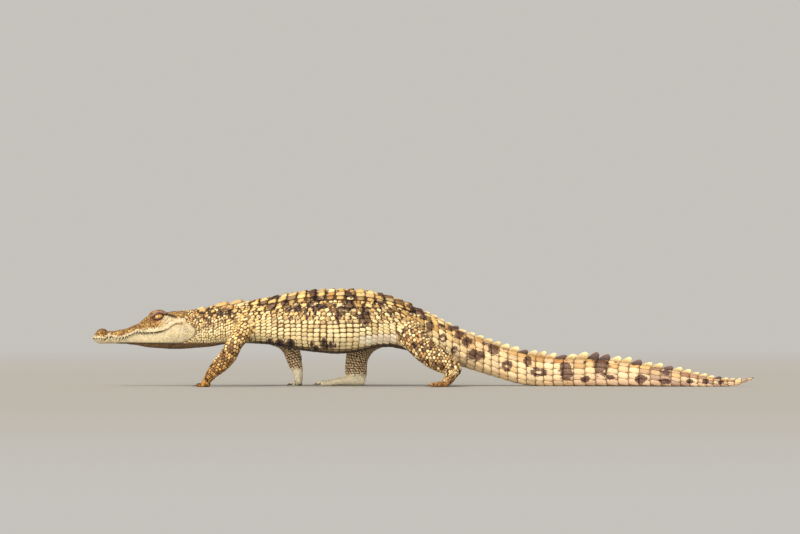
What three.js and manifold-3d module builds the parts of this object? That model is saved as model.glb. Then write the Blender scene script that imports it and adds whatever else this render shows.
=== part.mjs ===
// A young Nile crocodile in mid stride, life size, as a museum model would show it.
// Millimetres, +Z up, head towards -X, left flank towards -Y, feet and tail on the floor at z = 0.
import * as THREE from "three";
import { mergeVertices } from "three/addons/utils/BufferGeometryUtils.js";
import Module from "manifold-3d";

const { PI, sin, cos, abs, sign, hypot, asin, min, max, exp, round } = Math;
const wasm = await Module();
wasm.setup();

// ---------------------------------------------------------------- driving dimensions
// Stations are distances behind the tip of the snout, heights are above the floor.
const BODY_LENGTH = 1485; // snout tip to tail tip, along the straight
const SKULL_END = 215; // back of the skull table
const JAW_END = 232; // angle of the lower jaw
const SHOULDER = 343; // neck meets torso
const HIP = 715; // torso meets tail
const TAIL_CUTS = [935, 1186]; // the tail's three lengths meet here, each at the edge of a ring of scales
const GAP = 0.3; // clearance between touching pieces
const FLAT = 0.8; // depth of the flats that feet and tail rest on

const BODY_SIDES = 20; // facets round the trunk
const HEAD_SIDES = 16;
const LIMB_SIDES = 9;
const LIMB_ROWS = 11;
const EYE_FACETS = [10, 8];
const TOOTH_SIDES = 4;
const RIDGE_FACETS = [10, 6];

// Scutes of the back: rows across the body, and lanes along it that draw together at neck and hips.
const SCUTE_ROWS = 17;
const SCUTE_PITCH = 21;
const FIRST_SCUTE = 368;
const LANES = 3; // on each side of the midline
const LANE = 19.5; // width of a lane where the back is broadest
const LANE_SPREAD = [[368, 0.8], [420, 1], [600, 1], [704, 0.72], [760, 0.6]];
const INNER_SCUTE = { width: 18, height: 2.2, keel: 2, sides: 6 };
const OUTER_SCUTE = { width: 16.5, height: 1.9, keel: 2, sides: 4 };
const NECK_KEEL = 2.2;
const ROOT = 1.2; // depth that a scute is sunk into the skin

// Rear edges of the rings of tail scales. The first rings carry two crests, the later ones one crest.
const PAIRED_WHORLS = [720, 737, 754, 770, 786, 802, 818, 835, 855, 875, 895, 914, 934, 956, 976,
  997, 1017, 1040, 1063, 1086, 1112];
const SINGLE_WHORLS = [1112, 1136, 1160, 1185, 1208, 1231, 1255, 1278, 1300, 1321, 1341, 1359, 1377,
  1393, 1409, 1425, 1440, 1455];

// Height of the back without its scutes.
const BACK = [[212, 170], [231, 172], [251, 173.8], [262, 177], [275, 180], [290, 182.5],
  [310, 184], [327, 187], [352, 189], [390, 194.5], [445, 205.5], [503, 213], [550, 215],
  [600, 213.6], [646, 205], [704, 185], [761, 159], [805, 134], [834, 120.5], [874, 105.5],
  [915, 89], [958, 77], [998, 67.5], [1041, 62.5], [1090, 61], [1141, 58.5], [1186, 53],
  [1232, 46.5], [1280, 39.5], [1319, 32], [1373, 21.5], [1409, 16], [1442, 14], [1473, 18.5],
  [1485, 21]];
// Height of the belly. Below zero it is cut off flat on the floor.
const BELLY = [[212, 86], [258, 89], [298, 95], [341, 97], [388, 95], [463, 82], [510, 76.5],
  [549, 73.5], [590, 77], [645, 88], [668, 88.5], [686, 85.5], [715, 79], [760, 65.5], [828, 45.5],
  [863, 34.5], [892, 25.5], [920, 17], [949, 8.5], [978, 2.5], [1005, -FLAT], [1405, -FLAT],
  [1442, 3], [1473, 14.5], [1485, 19.5]];
const HALF_WIDTH = [[212, 46], [235, 46.5], [270, 45], [300, 49], [340, 60], [390, 70], [445, 78],
  [503, 83], [550, 84.5], [600, 82], [646, 75], [690, 65], [730, 56], [780, 49], [834, 43],
  [900, 37], [978, 31.5], [1067, 26.5], [1141, 22.5], [1231, 17.5], [1319, 12.5], [1373, 9],
  [1430, 5.5], [1485, 1.6]];
// Sideways sway of the spine: the trunk bows to the left, and the tail swings right, then left.
const SWAY = [[0, 0], [230, 0], [330, -3], [450, -13], [560, -18], [650, -13], [720, -3], [800, 10],
  [900, 22], [1000, 20], [1100, 2], [1200, -24], [1300, -46], [1390, -54], [1450, -48], [1485, -38]];
// 2 is an ellipse, and more is squarer.
const SQUARENESS = [[212, 2.3], [340, 2.4], [550, 2.5], [760, 2.3], [1000, 2.6], [1485, 2.2]];
const WIDEST = 0.45; // share of the height at which the body is widest

// Upper head: midline of the snout, gape of the mouth, and half widths of both jaws.
const SNOUT_TOP = [[0, 110], [4, 118], [9, 123.5], [14, 125.5], [22, 126], [30, 123.8], [38, 124],
  [48, 124.2], [56, 126], [62, 127.2], [70, 128.3], [78, 130.8], [84, 133.4], [90, 136], [98, 139],
  [106, 143.6], [112, 147.8], [118, 152.5], [124, 158], [131, 161.6], [142, 163.6], [165, 166],
  [180, 168.4], [200, 169.6], [215, 170]];
const GAPE = [[0, 107.5], [16, 108], [28, 105.5], [36, 113], [46, 110], [58, 107.5], [72, 110],
  [85, 115.5], [102, 121.5], [119, 120.5], [137, 121], [154, 124], [168, 128.5], [178, 136],
  [189, 141.5], [209, 142.5], [232, 140]];
const UPPER_HALF = [[0, 3], [2, 8], [6, 13.5], [12, 17.5], [19, 19], [28, 17.5], [36, 15.2],
  [44, 17], [56, 20.5], [72, 21], [90, 23], [108, 27], [125, 32], [142, 37], [160, 42.5],
  [180, 47.5], [200, 50.5], [215, 51]];
const LOWER_HALF = [[0, 2], [3, 5], [8, 9], [15, 11.8], [24, 13], [30, 15.5], [36, 18.3],
  [43, 14.5], [50, 13.6], [56, 14.6], [72, 15.4], [90, 17.4], [108, 21.4], [125, 26.6], [142, 31.8],
  [160, 38.5], [180, 44.5], [200, 48.5], [215, 49.5], [226, 48.5], [232, 46]];
const JAW_BOTTOM = [[0, 105], [4, 101], [9, 98], [16, 95.7], [46, 96], [58, 95.3], [74, 95.2],
  [84, 93.6], [98, 92.2], [111, 89.6], [122, 87.5], [138, 86], [154, 85], [170, 84], [186, 84],
  [217, 85], [232, 86.5]];

// Smaller forms of the head. y is the distance from the midline, and angles are in radians.
const EYE = { x: 148, y: 21.5, z: 156.5, radius: 11 };
const LID = { length: 26, low: -9.4, high: 11, turn: 0.12, reach: 24 };
const BROW = { at: [146.5, 20.5, 158.2], radii: [21, 14, 13.6], pitch: -0.06 };
const RIDGE = { at: [121, 15, 150], radii: [21, 7, 5], pitch: -0.62, yaw: 0.25 };
const NASAL_DISC = { at: [20.5, 0, 122.8], radii: [11, 12, 6.7], pitch: -0.06 };
const NOSTRIL = { at: [18, 5, 129], radius: 1.5, length: 4, pitch: 0.25, yaw: 0.55 };
const EAR = { at: [176.5, 25.2, 160.5], size: [25, 5, 1.7], pitch: 0.33, yaw: 0.1 };
const SKULL_TABLE = { front: 158, shoulder: 166, corner: 206, z: 153.4, thickness: 15, pitch: 0.05 };
const TOOTH_STATIONS = [7, 12.5, 18, 23.5, 50.5, 57.5, 64.5, 72, 80, 88, 96, 104, 112, 120.5, 129,
  137.5];
const FANG = { at: [36.5, 17.6], root: 110, tip: 119, radius: 1.7, splay: 0.04 };
const DOME = (5 * PI) / 6; // share of a ring that is the dome; the rest is the flat of the mouth
const HEAD_STATIONS = [0, 2.5, 6, 12, 19, 27, 32, 36, 41, 48, 58, 70, 82, 94, 106, 118, 130, 142,
  155, 168, 179, 192];

const NECK_SCUTES = [
  ...[-24, 24].map((across) => ({ x: 246, across, length: 14, width: 13, height: 2.6 })),
  ...[-9, 9].map((across) => ({ x: 244, across, length: 14, width: 13, height: 2.6 })),
  ...[-12.5, 12.5].map((across) => ({ x: 290, across, length: 28, width: 24, height: 3.6 })),
  ...[-12, 12].map((across) => ({ x: 323, across, length: 27, width: 22, height: 4 })),
  ...[-34, 34].map((across) => ({ x: 303, across, length: 25, width: 19, height: 4 })),
];

// Heights of the crest scales above the back, and how far the paired ones stand from the midline.
const CREST_HEIGHT = [[737, 5], [786, 6.5], [835, 8], [875, 9], [934, 11.5], [976, 10.5],
  [1017, 14.5], [1063, 10.5], [1086, 11.5], [1112, 16], [1160, 15.5], [1208, 14], [1278, 12],
  [1341, 10.5], [1377, 8], [1425, 5.5], [1455, 3.5]];
const CREST_OFFSET = [[726, 16], [900, 13], [1000, 11.5], [1113, 6]];

const FIN_THICKNESS = 4.2;
const FIN_LEAN = 0.18;

// Sections of each leg from inside the trunk to below the wrist or ankle, and of each palm or sole.
// cut is a point and a normal of the plane where the foot begins. Toes start on the line across the ball,
// and each is [place across -1..1 from the inner side, heading in degrees off straight ahead, length].
const CLAWED_TOES = 3; // counted from the inner side
const LEGS = {
  foreleg_left: {
    leg: [[352, -30, 150, 24, 28], [345, -52, 137, 23, 25], [334, -70, 116, 20, 20],
      [321, -82, 97, 16, 17.4], [305.5, -86, 68, 14.5, 18], [287, -87, 48, 13.5, 17],
      [271, -87.5, 31, 12, 12], [263, -88, 20, 12, 10]],
    cut: [[272, -87, 32], [-0.72, 0, -0.69]],
    palm: [[284, -87, 46, 12.5, 13], [270, -87.5, 30, 12.5, 12], [261, -88, 17, 15, 9.2],
      [253, -88.5, 7, 18.5, 7.4], [248, -88.5, 5, 18, 5]],
    toes: [[-1, -40, 16], [-0.5, -18, 20], [0, 2, 21], [0.5, 24, 19], [1, 54, 15]],
    ball: [257, -88.5], broad: 15, toe: 4.4, webbed: false,
  },
  foreleg_right: {
    leg: [[350, 28, 150, 24, 28], [362, 54, 137, 23, 25], [396, 71, 115, 18, 20],
      [428, 76, 100, 16, 18.5], [443, 74, 83, 15, 17.8], [450, 71, 65, 14, 17],
      [455, 68, 46, 12.5, 14.5], [460, 67, 32, 11.5, 10.5], [461, 66.5, 22, 12, 9]],
    cut: [[458, 67, 38], [0.15, 0, -0.99]],
    palm: [[455, 68, 46, 12.5, 14.5], [459, 67, 35, 11.5, 11.5], [461.5, 66.5, 22, 13, 8.8],
      [461, 66, 10, 17, 8.2], [460, 66, 2, 18, 7.5]],
    toes: [[-1, -80, 16], [-0.6, -56, 19], [-0.1, -32, 18], [0.6, 60, 19], [1, 118, 18]],
    ball: [458, 66], broad: 14, toe: 4.4, webbed: false,
  },
  hindleg_left: {
    leg: [[690, -20, 140, 26, 36], [706, -52, 126, 26, 34], [727, -76, 103, 24, 28.5],
      [744, -86, 84, 22, 26.5], [765, -91, 68.5, 20, 26.4], [784, -93, 57.5, 18.5, 24.6],
      [800, -93, 48.5, 17, 21.5], [811, -93, 40, 16, 17], [810, -93, 30, 15, 14]],
    cut: [[808, -93, 38.4], [0.385, 0, -0.923]],
    palm: [[804, -93, 47, 16, 18], [808, -93, 38, 16, 17.5], [804, -93, 26, 17, 13.5],
      [797, -93, 14, 20, 10.5], [788, -93, 7, 22.5, 7.8], [780, -93, 5, 22, 5.5]],
    toes: [[-1, -24, 26], [-0.34, -6, 32], [0.34, 10, 32], [1, 30, 26]],
    ball: [790, -93], broad: 17.5, toe: 5.3, webbed: true,
  },
  hindleg_right: {
    leg: [[706, 18, 142, 26, 34], [690, 50, 130, 26, 34], [651, 76, 116, 24, 27.5],
      [616, 84, 98, 22, 25.5], [598, 86, 76, 20, 25.5], [592, 85, 52, 18, 24],
      [591, 84, 31, 17.5, 24], [591, 84, 8, 17.5, 22]],
    cut: [[591, 84, 20.5], [0, 0, -1]],
    palm: [[612, 84, 9, 9, 8], [606, 84, 10.5, 14, 11.3], [592, 84, 14, 18, 14.8],
      [572, 85.5, 11, 20.5, 11.8], [553, 87, 8.2, 23.5, 9], [537, 88, 6.4, 25, 7.2],
      [529, 89, 5.4, 24, 5.6]],
    toes: [[-1, -14, 30], [-0.34, 0, 37], [0.34, 10, 37], [1, 24, 31]],
    ball: [540, 88], broad: 19, toe: 5.4, webbed: true,
  },
};

const HIDE = new THREE.MeshStandardMaterial({ color: 0xcdb878, roughness: 0.62, metalness: 0 });
const IRIS = new THREE.MeshStandardMaterial({ color: 0xb98a34, roughness: 0.12, metalness: 0 });

// ---------------------------------------------------------------- helpers
const vec = (x, y, z) => new THREE.Vector3(x, y, z);

// Reads a table of [station, value] pairs as one smooth curve that never overshoots.
function along(table, x) {
  const last = table.length - 1;
  if (x <= table[0][0]) return table[0][1];
  if (x >= table[last][0]) return table[last][1];
  const slope = (k) => (table[k + 1][1] - table[k][1]) / (table[k + 1][0] - table[k][0]);
  const tangent = (k) => {
    if (k === 0) return slope(0);
    if (k === last) return slope(last - 1);
    const before = slope(k - 1);
    const after = slope(k);
    return before * after <= 0 ? 0 : (2 * before * after) / (before + after);
  };
  let i = 0;
  while (x > table[i + 1][0]) i++;
  const h = table[i + 1][0] - table[i][0];
  const t = (x - table[i][0]) / h;
  const s = 1 - t;
  return table[i][1] * s * s * (1 + 2 * t) + table[i + 1][1] * t * t * (1 + 2 * s)
    + h * t * s * (tangent(i) * s - tangent(i + 1) * t);
}

// A closed three.js geometry as a solid that can be joined and cut.
function solid(geometry) {
  const bare = new THREE.BufferGeometry();
  const flat = geometry.index ? geometry.toNonIndexed() : geometry;
  bare.setAttribute("position", flat.getAttribute("position"));
  const merged = mergeVertices(bare, 1e-3);
  return new wasm.Manifold(new wasm.Mesh({
    numProp: 3,
    vertProperties: merged.attributes.position.array,
    triVerts: new Uint32Array(merged.index.array),
  }));
}

const joined = (pieces) => wasm.Manifold.union(pieces);

// The largest closed surface of a solid: it drops scraps and fills sealed hollows.
function largest(made) {
  return made.decompose().reduce((best, one) => (one.volume() > best.volume() ? one : best));
}

const meshes = [];
function node(name, made, material = HIDE) {
  const mesh = largest(made).getMesh();
  const geometry = new THREE.BufferGeometry();
  geometry.setAttribute("position", new THREE.BufferAttribute(mesh.vertProperties, 3));
  geometry.setIndex(new THREE.BufferAttribute(mesh.triVerts, 1));
  geometry.computeVertexNormals();
  const part = new THREE.Mesh(geometry, material);
  part.name = name;
  meshes.push(part);
}

// A closed skin over a row of rings. point(row, angle) is on the skin, and middle(row) closes the ends.
function loft(rows, sides, point, middle) {
  const geometry = new THREE.CylinderGeometry(1, 1, 1, sides, rows - 1);
  const place = geometry.getAttribute("position");
  for (let i = 0; i < place.count; i++) {
    const row = round((place.getY(i) + 0.5) * (rows - 1));
    const across = hypot(place.getX(i), place.getZ(i));
    const angle = Math.atan2(place.getX(i), place.getZ(i));
    const at = across < 0.5 ? middle(row) : point(row, angle);
    place.setXYZ(i, at.x, at.y, at.z);
  }
  return solid(geometry);
}

function evenly(from, to, count) {
  return Array.from({ length: count }, (_, i) => from + ((to - from) * i) / (count - 1));
}
const power = (value, exponent) => sign(value) * abs(value) ** exponent;
const rise = (x, centre, spread) => exp(-(((x - centre) / spread) ** 2));

// ---------------------------------------------------------------- trunk surface
function onSpine(x, across, z) {
  const slope = (along(SWAY, x + 1) - along(SWAY, x - 1)) / 2;
  const unit = hypot(1, slope);
  return vec(x - (across * slope) / unit, along(SWAY, x) + across / unit, z);
}

// A point of the trunk's skin. Angle 0 is the midline of the back, and a quarter turn is the left flank.
function trunkPoint(x, angle, grow = 0) {
  const top = along(BACK, x) + grow;
  const bottom = along(BELLY, x) - grow;
  const widest = bottom + WIDEST * (top - bottom);
  const across = -(along(HALF_WIDTH, x) + grow) * power(sin(angle), bulge(x));
  const reach = cos(angle) > 0 ? top - widest : widest - bottom;
  return onSpine(x, across, widest + reach * power(cos(angle), bulge(x)));
}

const laneSpread = (x) => along(LANE_SPREAD, x);
const bulge = (x) => 2 / along(SQUARENESS, x);

// The angle round the body at which its skin is this far to the left of the midline, on the back.
function angleAt(x, across) {
  const share = min(1, abs(across) / along(HALF_WIDTH, x));
  return sign(across) * asin(share ** (1 / bulge(x)));
}

// The trunk through the stations. Its upper facets follow the lanes, so each scute sits on one facet.
function trunk(stations, grow = 0, sides = BODY_SIDES) {
  const highest = 0.3 * PI; // the lanes end above this angle
  const point = (row, angle) => {
    const x = stations[row];
    const step = (abs(angle) / PI) * (sides / 2);
    const edge = min(angleAt(x, LANES * LANE * laneSpread(x)), highest);
    const reach = along(HALF_WIDTH, x) * power(sin(edge), bulge(x));
    const below = (step - LANES) / (sides / 2 - LANES);
    const turned = below <= 0 ? angleAt(x, (step / LANES) * reach) : edge + (PI - edge) * below;
    return trunkPoint(x, sign(angle) * turned, grow);
  };
  const middle = (row) => {
    const x = stations[row];
    return onSpine(x, 0, (along(BACK, x) + along(BELLY, x)) / 2);
  };
  return loft(stations.length, sides, point, middle);
}

// Keeps what lies between two cross-planes of the spine.
function between(made, from, to) {
  const cut = (piece, x, way) => {
    const normal = onSpine(x, 0, 0).sub(onSpine(x - 1, 0, 0)).setZ(0).normalize().multiplyScalar(way);
    return piece.trimByPlane(normal.toArray(), normal.dot(onSpine(x, 0, 0)));
  };
  return cut(cut(made, from, 1), to, -1);
}

const onFloor = (made) => made.trimByPlane([0, 0, 1], 0);

// Stands a geometry on the skin: its x points to the tail, its y outwards.
function stand(geometry, x, angle, lean = 0) {
  const step = 0.02;
  const at = trunkPoint(x, angle);
  const aft = trunkPoint(x + 2, angle).sub(trunkPoint(x - 2, angle)).normalize();
  const around = trunkPoint(x, angle + step).sub(trunkPoint(x, angle - step)).normalize();
  const out = around.cross(aft).normalize();
  const side = aft.clone().cross(out);
  out.applyAxisAngle(aft, lean);
  side.applyAxisAngle(aft, lean);
  return geometry.applyMatrix4(new THREE.Matrix4().makeBasis(aft, out, side).setPosition(at));
}

// ---------------------------------------------------------------- scutes and crests
// A bony plate, its root sunk into the skin. With six sides it carries a keel, with four a low peak.
function scute(length, width, height, keel, sides = 6) {
  const geometry = new THREE.CylinderGeometry(1, 1, 1, sides);
  geometry.rotateY(PI / sides);
  const place = geometry.getAttribute("position");
  for (let i = 0; i < place.count; i++) {
    const onTop = place.getY(i) > 0;
    const onKeel = abs(place.getZ(i)) < 0.01;
    const end = abs(place.getX(i)) < 0.01 ? 0 : sign(place.getX(i)) * (onKeel ? 0.5 : 0.44);
    const side = onKeel ? 0 : sign(place.getZ(i)) * 0.48;
    const shrink = onTop ? 0.8 : 1.02;
    const lift = onKeel ? keel * (0.7 + 0.6 * end) : 0;
    const aft = onTop ? 0.05 : 0;
    place.setXYZ(i, (end * shrink + aft) * length, onTop ? height + lift : -ROOT, side * shrink * width);
  }
  return geometry;
}

// An upright crest scale: a leaf-like fin that leans back and thins towards its edge.
function fin(length, height, thickness) {
  const sunk = 3;
  const outline = new THREE.Shape();
  outline.moveTo(-0.5 * length, -sunk);
  outline.lineTo(0.44 * length, -sunk);
  outline.lineTo(0.42 * length, 0.35 * height);
  outline.lineTo(0.5 * length, 0.96 * height);
  outline.lineTo(0.26 * length, height);
  outline.lineTo(-0.12 * length, 0.82 * height);
  outline.lineTo(-0.42 * length, 0.3 * height);
  const geometry = new THREE.ExtrudeGeometry(outline, { depth: thickness, bevelEnabled: false });
  const place = geometry.getAttribute("position");
  for (let i = 0; i < place.count; i++) {
    const thin = 1 - 0.62 * max(0, place.getY(i) / height);
    place.setZ(i, (place.getZ(i) - thickness / 2) * thin);
  }
  return geometry;
}

function neckScutes() {
  return NECK_SCUTES.map(({ x, across, length, width, height }) => {
    const plate = scute(length, width, height, NECK_KEEL);
    return solid(stand(plate, x, angleAt(x, across)));
  });
}

// Six plates across each row of the back, in keeled lines that draw together at the hips.
function backScutes() {
  const made = [];
  for (let row = 0; row < SCUTE_ROWS; row++) {
    const x = FIRST_SCUTE + SCUTE_PITCH * row;
    const spread = laneSpread(x);
    for (let lane = 0.5 - LANES; lane < LANES; lane++) {
      const { width, height, keel, sides } = abs(lane) > 1 ? OUTER_SCUTE : INNER_SCUTE;
      const plate = scute(SCUTE_PITCH * 0.94, width * spread, height, keel, sides);
      made.push(solid(stand(plate, x, angleAt(x, lane * LANE * spread))));
    }
  }
  return made;
}

function crest(from, to) {
  const made = [];
  const rows = (edges, place) => edges.slice(1).forEach((rear, k) => {
    const x = (edges[k] + rear) / 2;
    if (x > from && x < to) place(x, rear - edges[k], along(CREST_HEIGHT, rear));
  });
  rows(PAIRED_WHORLS, (x, length, height) => [-1, 1].forEach((way) => {
    const angle = angleAt(x, way * along(CREST_OFFSET, x));
    made.push(solid(stand(fin(length, height, FIN_THICKNESS), x, angle, way * FIN_LEAN)));
  }));
  rows(SINGLE_WHORLS, (x, length, height) => {
    const thickness = min(FIN_THICKNESS, 0.7 * along(HALF_WIDTH, x));
    made.push(solid(stand(fin(length, height, thickness), x, 0)));
  });
  return made;
}

// ---------------------------------------------------------------- head
// One jaw as a half ring over a flat: way 1 domes upwards, way -1 downwards.
function jaw(stations, half, crown, base, way, squareness, sides) {
  const point = (row, angle) => {
    const x = stations[row];
    const turn = way > 0 ? abs(angle) : PI - abs(angle);
    const side = -sign(angle);
    if (turn > DOME + 1e-6) return vec(x, side * half(x) * ((PI - turn) / (PI - DOME)), base(x));
    const share = ((turn / DOME) * PI) / 2;
    const exponent = 2 / squareness(x);
    const high = base(x) + (crown(x) - base(x)) * power(cos(share), exponent);
    return vec(x, side * half(x) * power(sin(share), exponent), high);
  };
  const middle = (row) => vec(stations[row], 0, (crown(stations[row]) + base(stations[row])) / 2);
  return loft(stations.length, sides, point, middle);
}

function egg(at, radii, pitch = 0, yaw = 0, facets = EYE_FACETS) {
  const geometry = new THREE.SphereGeometry(1, ...facets);
  geometry.scale(...radii).rotateY(pitch).rotateZ(yaw).translate(...at);
  return solid(geometry);
}

const eyeball = (way, grow) => egg([EYE.x, way * EYE.y, EYE.z], Array(3).fill(EYE.radius + grow));

// A cone-shaped tooth. z runs from its sunk root to its tip.
function tooth(x, y, root, tip, radius, splay) {
  const geometry = new THREE.ConeGeometry(radius, abs(tip - root), TOOTH_SIDES);
  geometry.rotateX(tip > root ? PI / 2 : -PI / 2).rotateX(splay).translate(x, y, (root + tip) / 2);
  return solid(geometry);
}

// Skull table: the flat roof behind the eyes.
function skullTable() {
  const { front, shoulder, corner, z, thickness, pitch } = SKULL_TABLE;
  const rear = SKULL_END - 0.2;
  const roof = new THREE.Shape();
  roof.moveTo(front, -9);
  roof.lineTo(shoulder, -21);
  roof.lineTo(corner, -27);
  roof.quadraticCurveTo(rear, -28, rear, -20);
  roof.lineTo(rear, 20);
  roof.quadraticCurveTo(rear, 28, corner, 27);
  roof.lineTo(shoulder, 21);
  roof.lineTo(front, 9);
  const bevel = { bevelThickness: 1.6, bevelSize: 1.6, bevelOffset: -1.6, bevelSegments: 1 };
  const slab = new THREE.ExtrudeGeometry(roof, { depth: thickness, curveSegments: 2, ...bevel });
  return solid(slab.translate(-190, 0, 0).rotateY(-pitch).translate(190, 0, z));
}

// Small teeth along the upper jaw, longer near the front and at the swell of the cheek.
function upperTeeth(way) {
  return TOOTH_STATIONS.map((x) => {
    const length = 3 + 2.4 * rise(x, 18, 8) + 3 * rise(x, 58, 14);
    const inset = along(UPPER_HALF, x) - 2.4;
    const mouth = along(GAPE, x);
    return tooth(x, way * inset, mouth + 2.5, mouth - length, x > 100 ? 1.5 : 1.8, -way * 0.08);
  });
}

function nostril(way) {
  const { at, radius, length, pitch, yaw } = NOSTRIL;
  const slot = new THREE.CapsuleGeometry(radius, length, 2, 6).rotateX(PI / 2);
  slot.rotateY(PI / 2 - pitch).rotateZ(-way * yaw).translate(at[0], way * at[1], at[2]);
  return solid(slot);
}

function earSlit(way) {
  const slit = new THREE.BoxGeometry(...EAR.size);
  slit.rotateY(EAR.pitch).rotateZ(way * EAR.yaw).translate(EAR.at[0], way * EAR.at[1], EAR.at[2]);
  return solid(slit);
}

// The almond between the lids, cut outwards from the middle of the eye.
function lidSlit(way) {
  const end = LID.length / 2;
  const almond = new THREE.Shape();
  almond.moveTo(-end, -2.6);
  almond.quadraticCurveTo(2.6, LID.low, end, 4);
  almond.quadraticCurveTo(-3, LID.high, -end, -2.6);
  const bar = { depth: LID.reach, bevelEnabled: false, curveSegments: 5 };
  const slit = new THREE.ExtrudeGeometry(almond, bar);
  slit.rotateX(PI / 2).translate(0, way > 0 ? LID.reach : 0, 0);
  return solid(slit.rotateX(way * LID.turn).translate(EYE.x, way * EYE.y, EYE.z));
}

function upperHead() {
  const stations = [...HEAD_STATIONS, SKULL_END];
  const squareness = (x) => along([[0, 2], [40, 2.4], [100, 2.2], [150, 1.9], [215, 1.75]], x);
  const read = (table) => (x) => along(table, x);
  const beside = ({ at }, way) => [at[0], way * at[1], at[2]];
  const pieces = [
    jaw(stations, read(UPPER_HALF), read(SNOUT_TOP), read(GAPE), 1, squareness, HEAD_SIDES),
    skullTable(),
    egg(NASAL_DISC.at, NASAL_DISC.radii, NASAL_DISC.pitch),
  ];
  const openings = [];
  for (const way of [-1, 1]) {
    pieces.push(egg(beside(BROW, way), BROW.radii, BROW.pitch));
    pieces.push(egg(beside(RIDGE, way), RIDGE.radii, RIDGE.pitch, way * RIDGE.yaw, RIDGE_FACETS));
    pieces.push(...upperTeeth(way));
    openings.push(eyeball(way, GAP), lidSlit(way), nostril(way), earSlit(way));
  }
  const head = joined(pieces).subtract(joined(openings));
  return head.trimByPlane([-1, 0, 0], -(SKULL_END - GAP / 2));
}

function lowerJaw(grow = 0) {
  const stations = [...HEAD_STATIONS, SKULL_END, 226, JAW_END + grow];
  stations[0] = 1.5;
  const squareness = (x) => along([[0, 2.2], [60, 2.6], [130, 2.4], [232, 2.5]], x);
  const half = (x) => along(LOWER_HALF, x) + grow;
  const bottom = (x) => along(JAW_BOTTOM, x) - grow;
  const top = (x) => along(GAPE, x) - 2 * GAP + grow;
  const made = jaw(stations, half, bottom, top, -1, squareness, HEAD_SIDES);
  if (grow) return made;
  const { at: [x, y], root, tip, radius, splay } = FANG;
  const fangs = [-1, 1].map((way) => tooth(x, way * y, root, tip, radius, way * splay));
  return joined([made, ...fangs]);
}

// ---------------------------------------------------------------- limbs
// A limb along a bent line of [x, y, z, half width, half depth] sections. Width is measured towards y.
function limb(sections, sides, rows) {
  const centres = sections.map(([x, y, z]) => vec(x, y, z));
  const line = new THREE.CatmullRomCurve3(centres, false, "centripetal");
  const last = sections.length - 1;
  const width = sections.map((s, i) => [i / last, s[3]]);
  const depth = sections.map((s, i) => [i / last, s[4]]);
  const rings = evenly(0, 1, rows).map((t) => {
    const onwards = line.getTangent(t);
    const side = vec(0, 1, 0).addScaledVector(onwards, -onwards.y).normalize();
    return { t, at: line.getPoint(t), side, front: side.clone().cross(onwards) };
  });
  const point = (row, angle) => {
    const { t, at, side, front } = rings[row];
    return at.clone().addScaledVector(side, -along(width, t) * sin(angle))
      .addScaledVector(front, -along(depth, t) * cos(angle));
  };
  return loft(rows, sides, point, (row) => rings[row].at);
}

// One toe from the ball to its tip, lying on the floor, and its claw.
function toePieces(root, heading, length, radius, clawed) {
  const ahead = vec(-cos(heading), sin(heading), 0);
  const at = (reach, r, lift) => {
    const centre = root.clone().addScaledVector(ahead, reach);
    return [centre.x, centre.y, r - FLAT + lift, r, r];
  };
  const finger = limb([
    at(-8, radius * 1.2, 1),
    at(0, radius * 1.1, 1.6),
    at(length * 0.5, radius, 0.6),
    at(length * 0.86, radius * 0.9, 0),
    at(length, radius * 0.5, 0),
  ], 5, 4);
  if (!clawed) return [finger];
  const claw = limb([at(length - 4, 2.3, 1), at(length + 3, 2, 1.6), at(length + 9, 0.5, 1)], 4, 3);
  return [finger, claw];
}

// A thin web from the ball to a little way short of the tips of two neighbouring toes.
function web(root, tips) {
  const near = tips.map((tip) => tip.clone().lerp(root, 0.16));
  const fold = near[0].clone().lerp(near[1], 0.5).lerp(root, 0.22);
  const sheet = new THREE.Shape([root, near[0], fold, near[1]].map((p) => new THREE.Vector2(p.x, p.y)));
  const spread = new THREE.ExtrudeGeometry(sheet, { depth: 1.8, bevelEnabled: false });
  return solid(spread.translate(0, 0, 2.2));
}

function foot({ palm, toes, ball, broad, toe, webbed }, way) {
  const pieces = [limb(palm, LIMB_SIDES, palm.length)];
  const tips = [];
  const roots = [];
  toes.forEach(([place, degrees, length], k) => {
    const root = vec(ball[0], ball[1] + way * place * broad, 0);
    const heading = (way * degrees * PI) / 180;
    pieces.push(...toePieces(root, heading, length, toe, k < CLAWED_TOES));
    roots.push(root);
    tips.push(root.clone().add(vec(-cos(heading), sin(heading), 0).multiplyScalar(length)));
  });
  if (!webbed) return joined(pieces);
  for (let k = 0; k + 1 < tips.length; k++) {
    const fork = roots[k].clone().lerp(roots[k + 1], 0.5).add(vec(6, 0, 0));
    pieces.push(web(fork, [tips[k], tips[k + 1]]));
  }
  return joined(pieces);
}

// Keeps what lies beyond a plane, or before it when way is -1, with half the clearance.
function pastPlane(made, [at, normal], way) {
  const unit = vec(...normal).normalize().multiplyScalar(way);
  return made.trimByPlane(unit.toArray(), unit.dot(vec(...at)) + GAP / 2);
}

// ---------------------------------------------------------------- assembly
const margin = GAP / 2;
const plates = (pieces, from, to) => between(joined(pieces), from + margin + 0.1, to - margin - 0.1);

node("head", upperHead());
node("lower_jaw", lowerJaw());
node("eye_left", eyeball(-1, 0), IRIS);
node("eye_right", eyeball(1, 0), IRIS);

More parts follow.
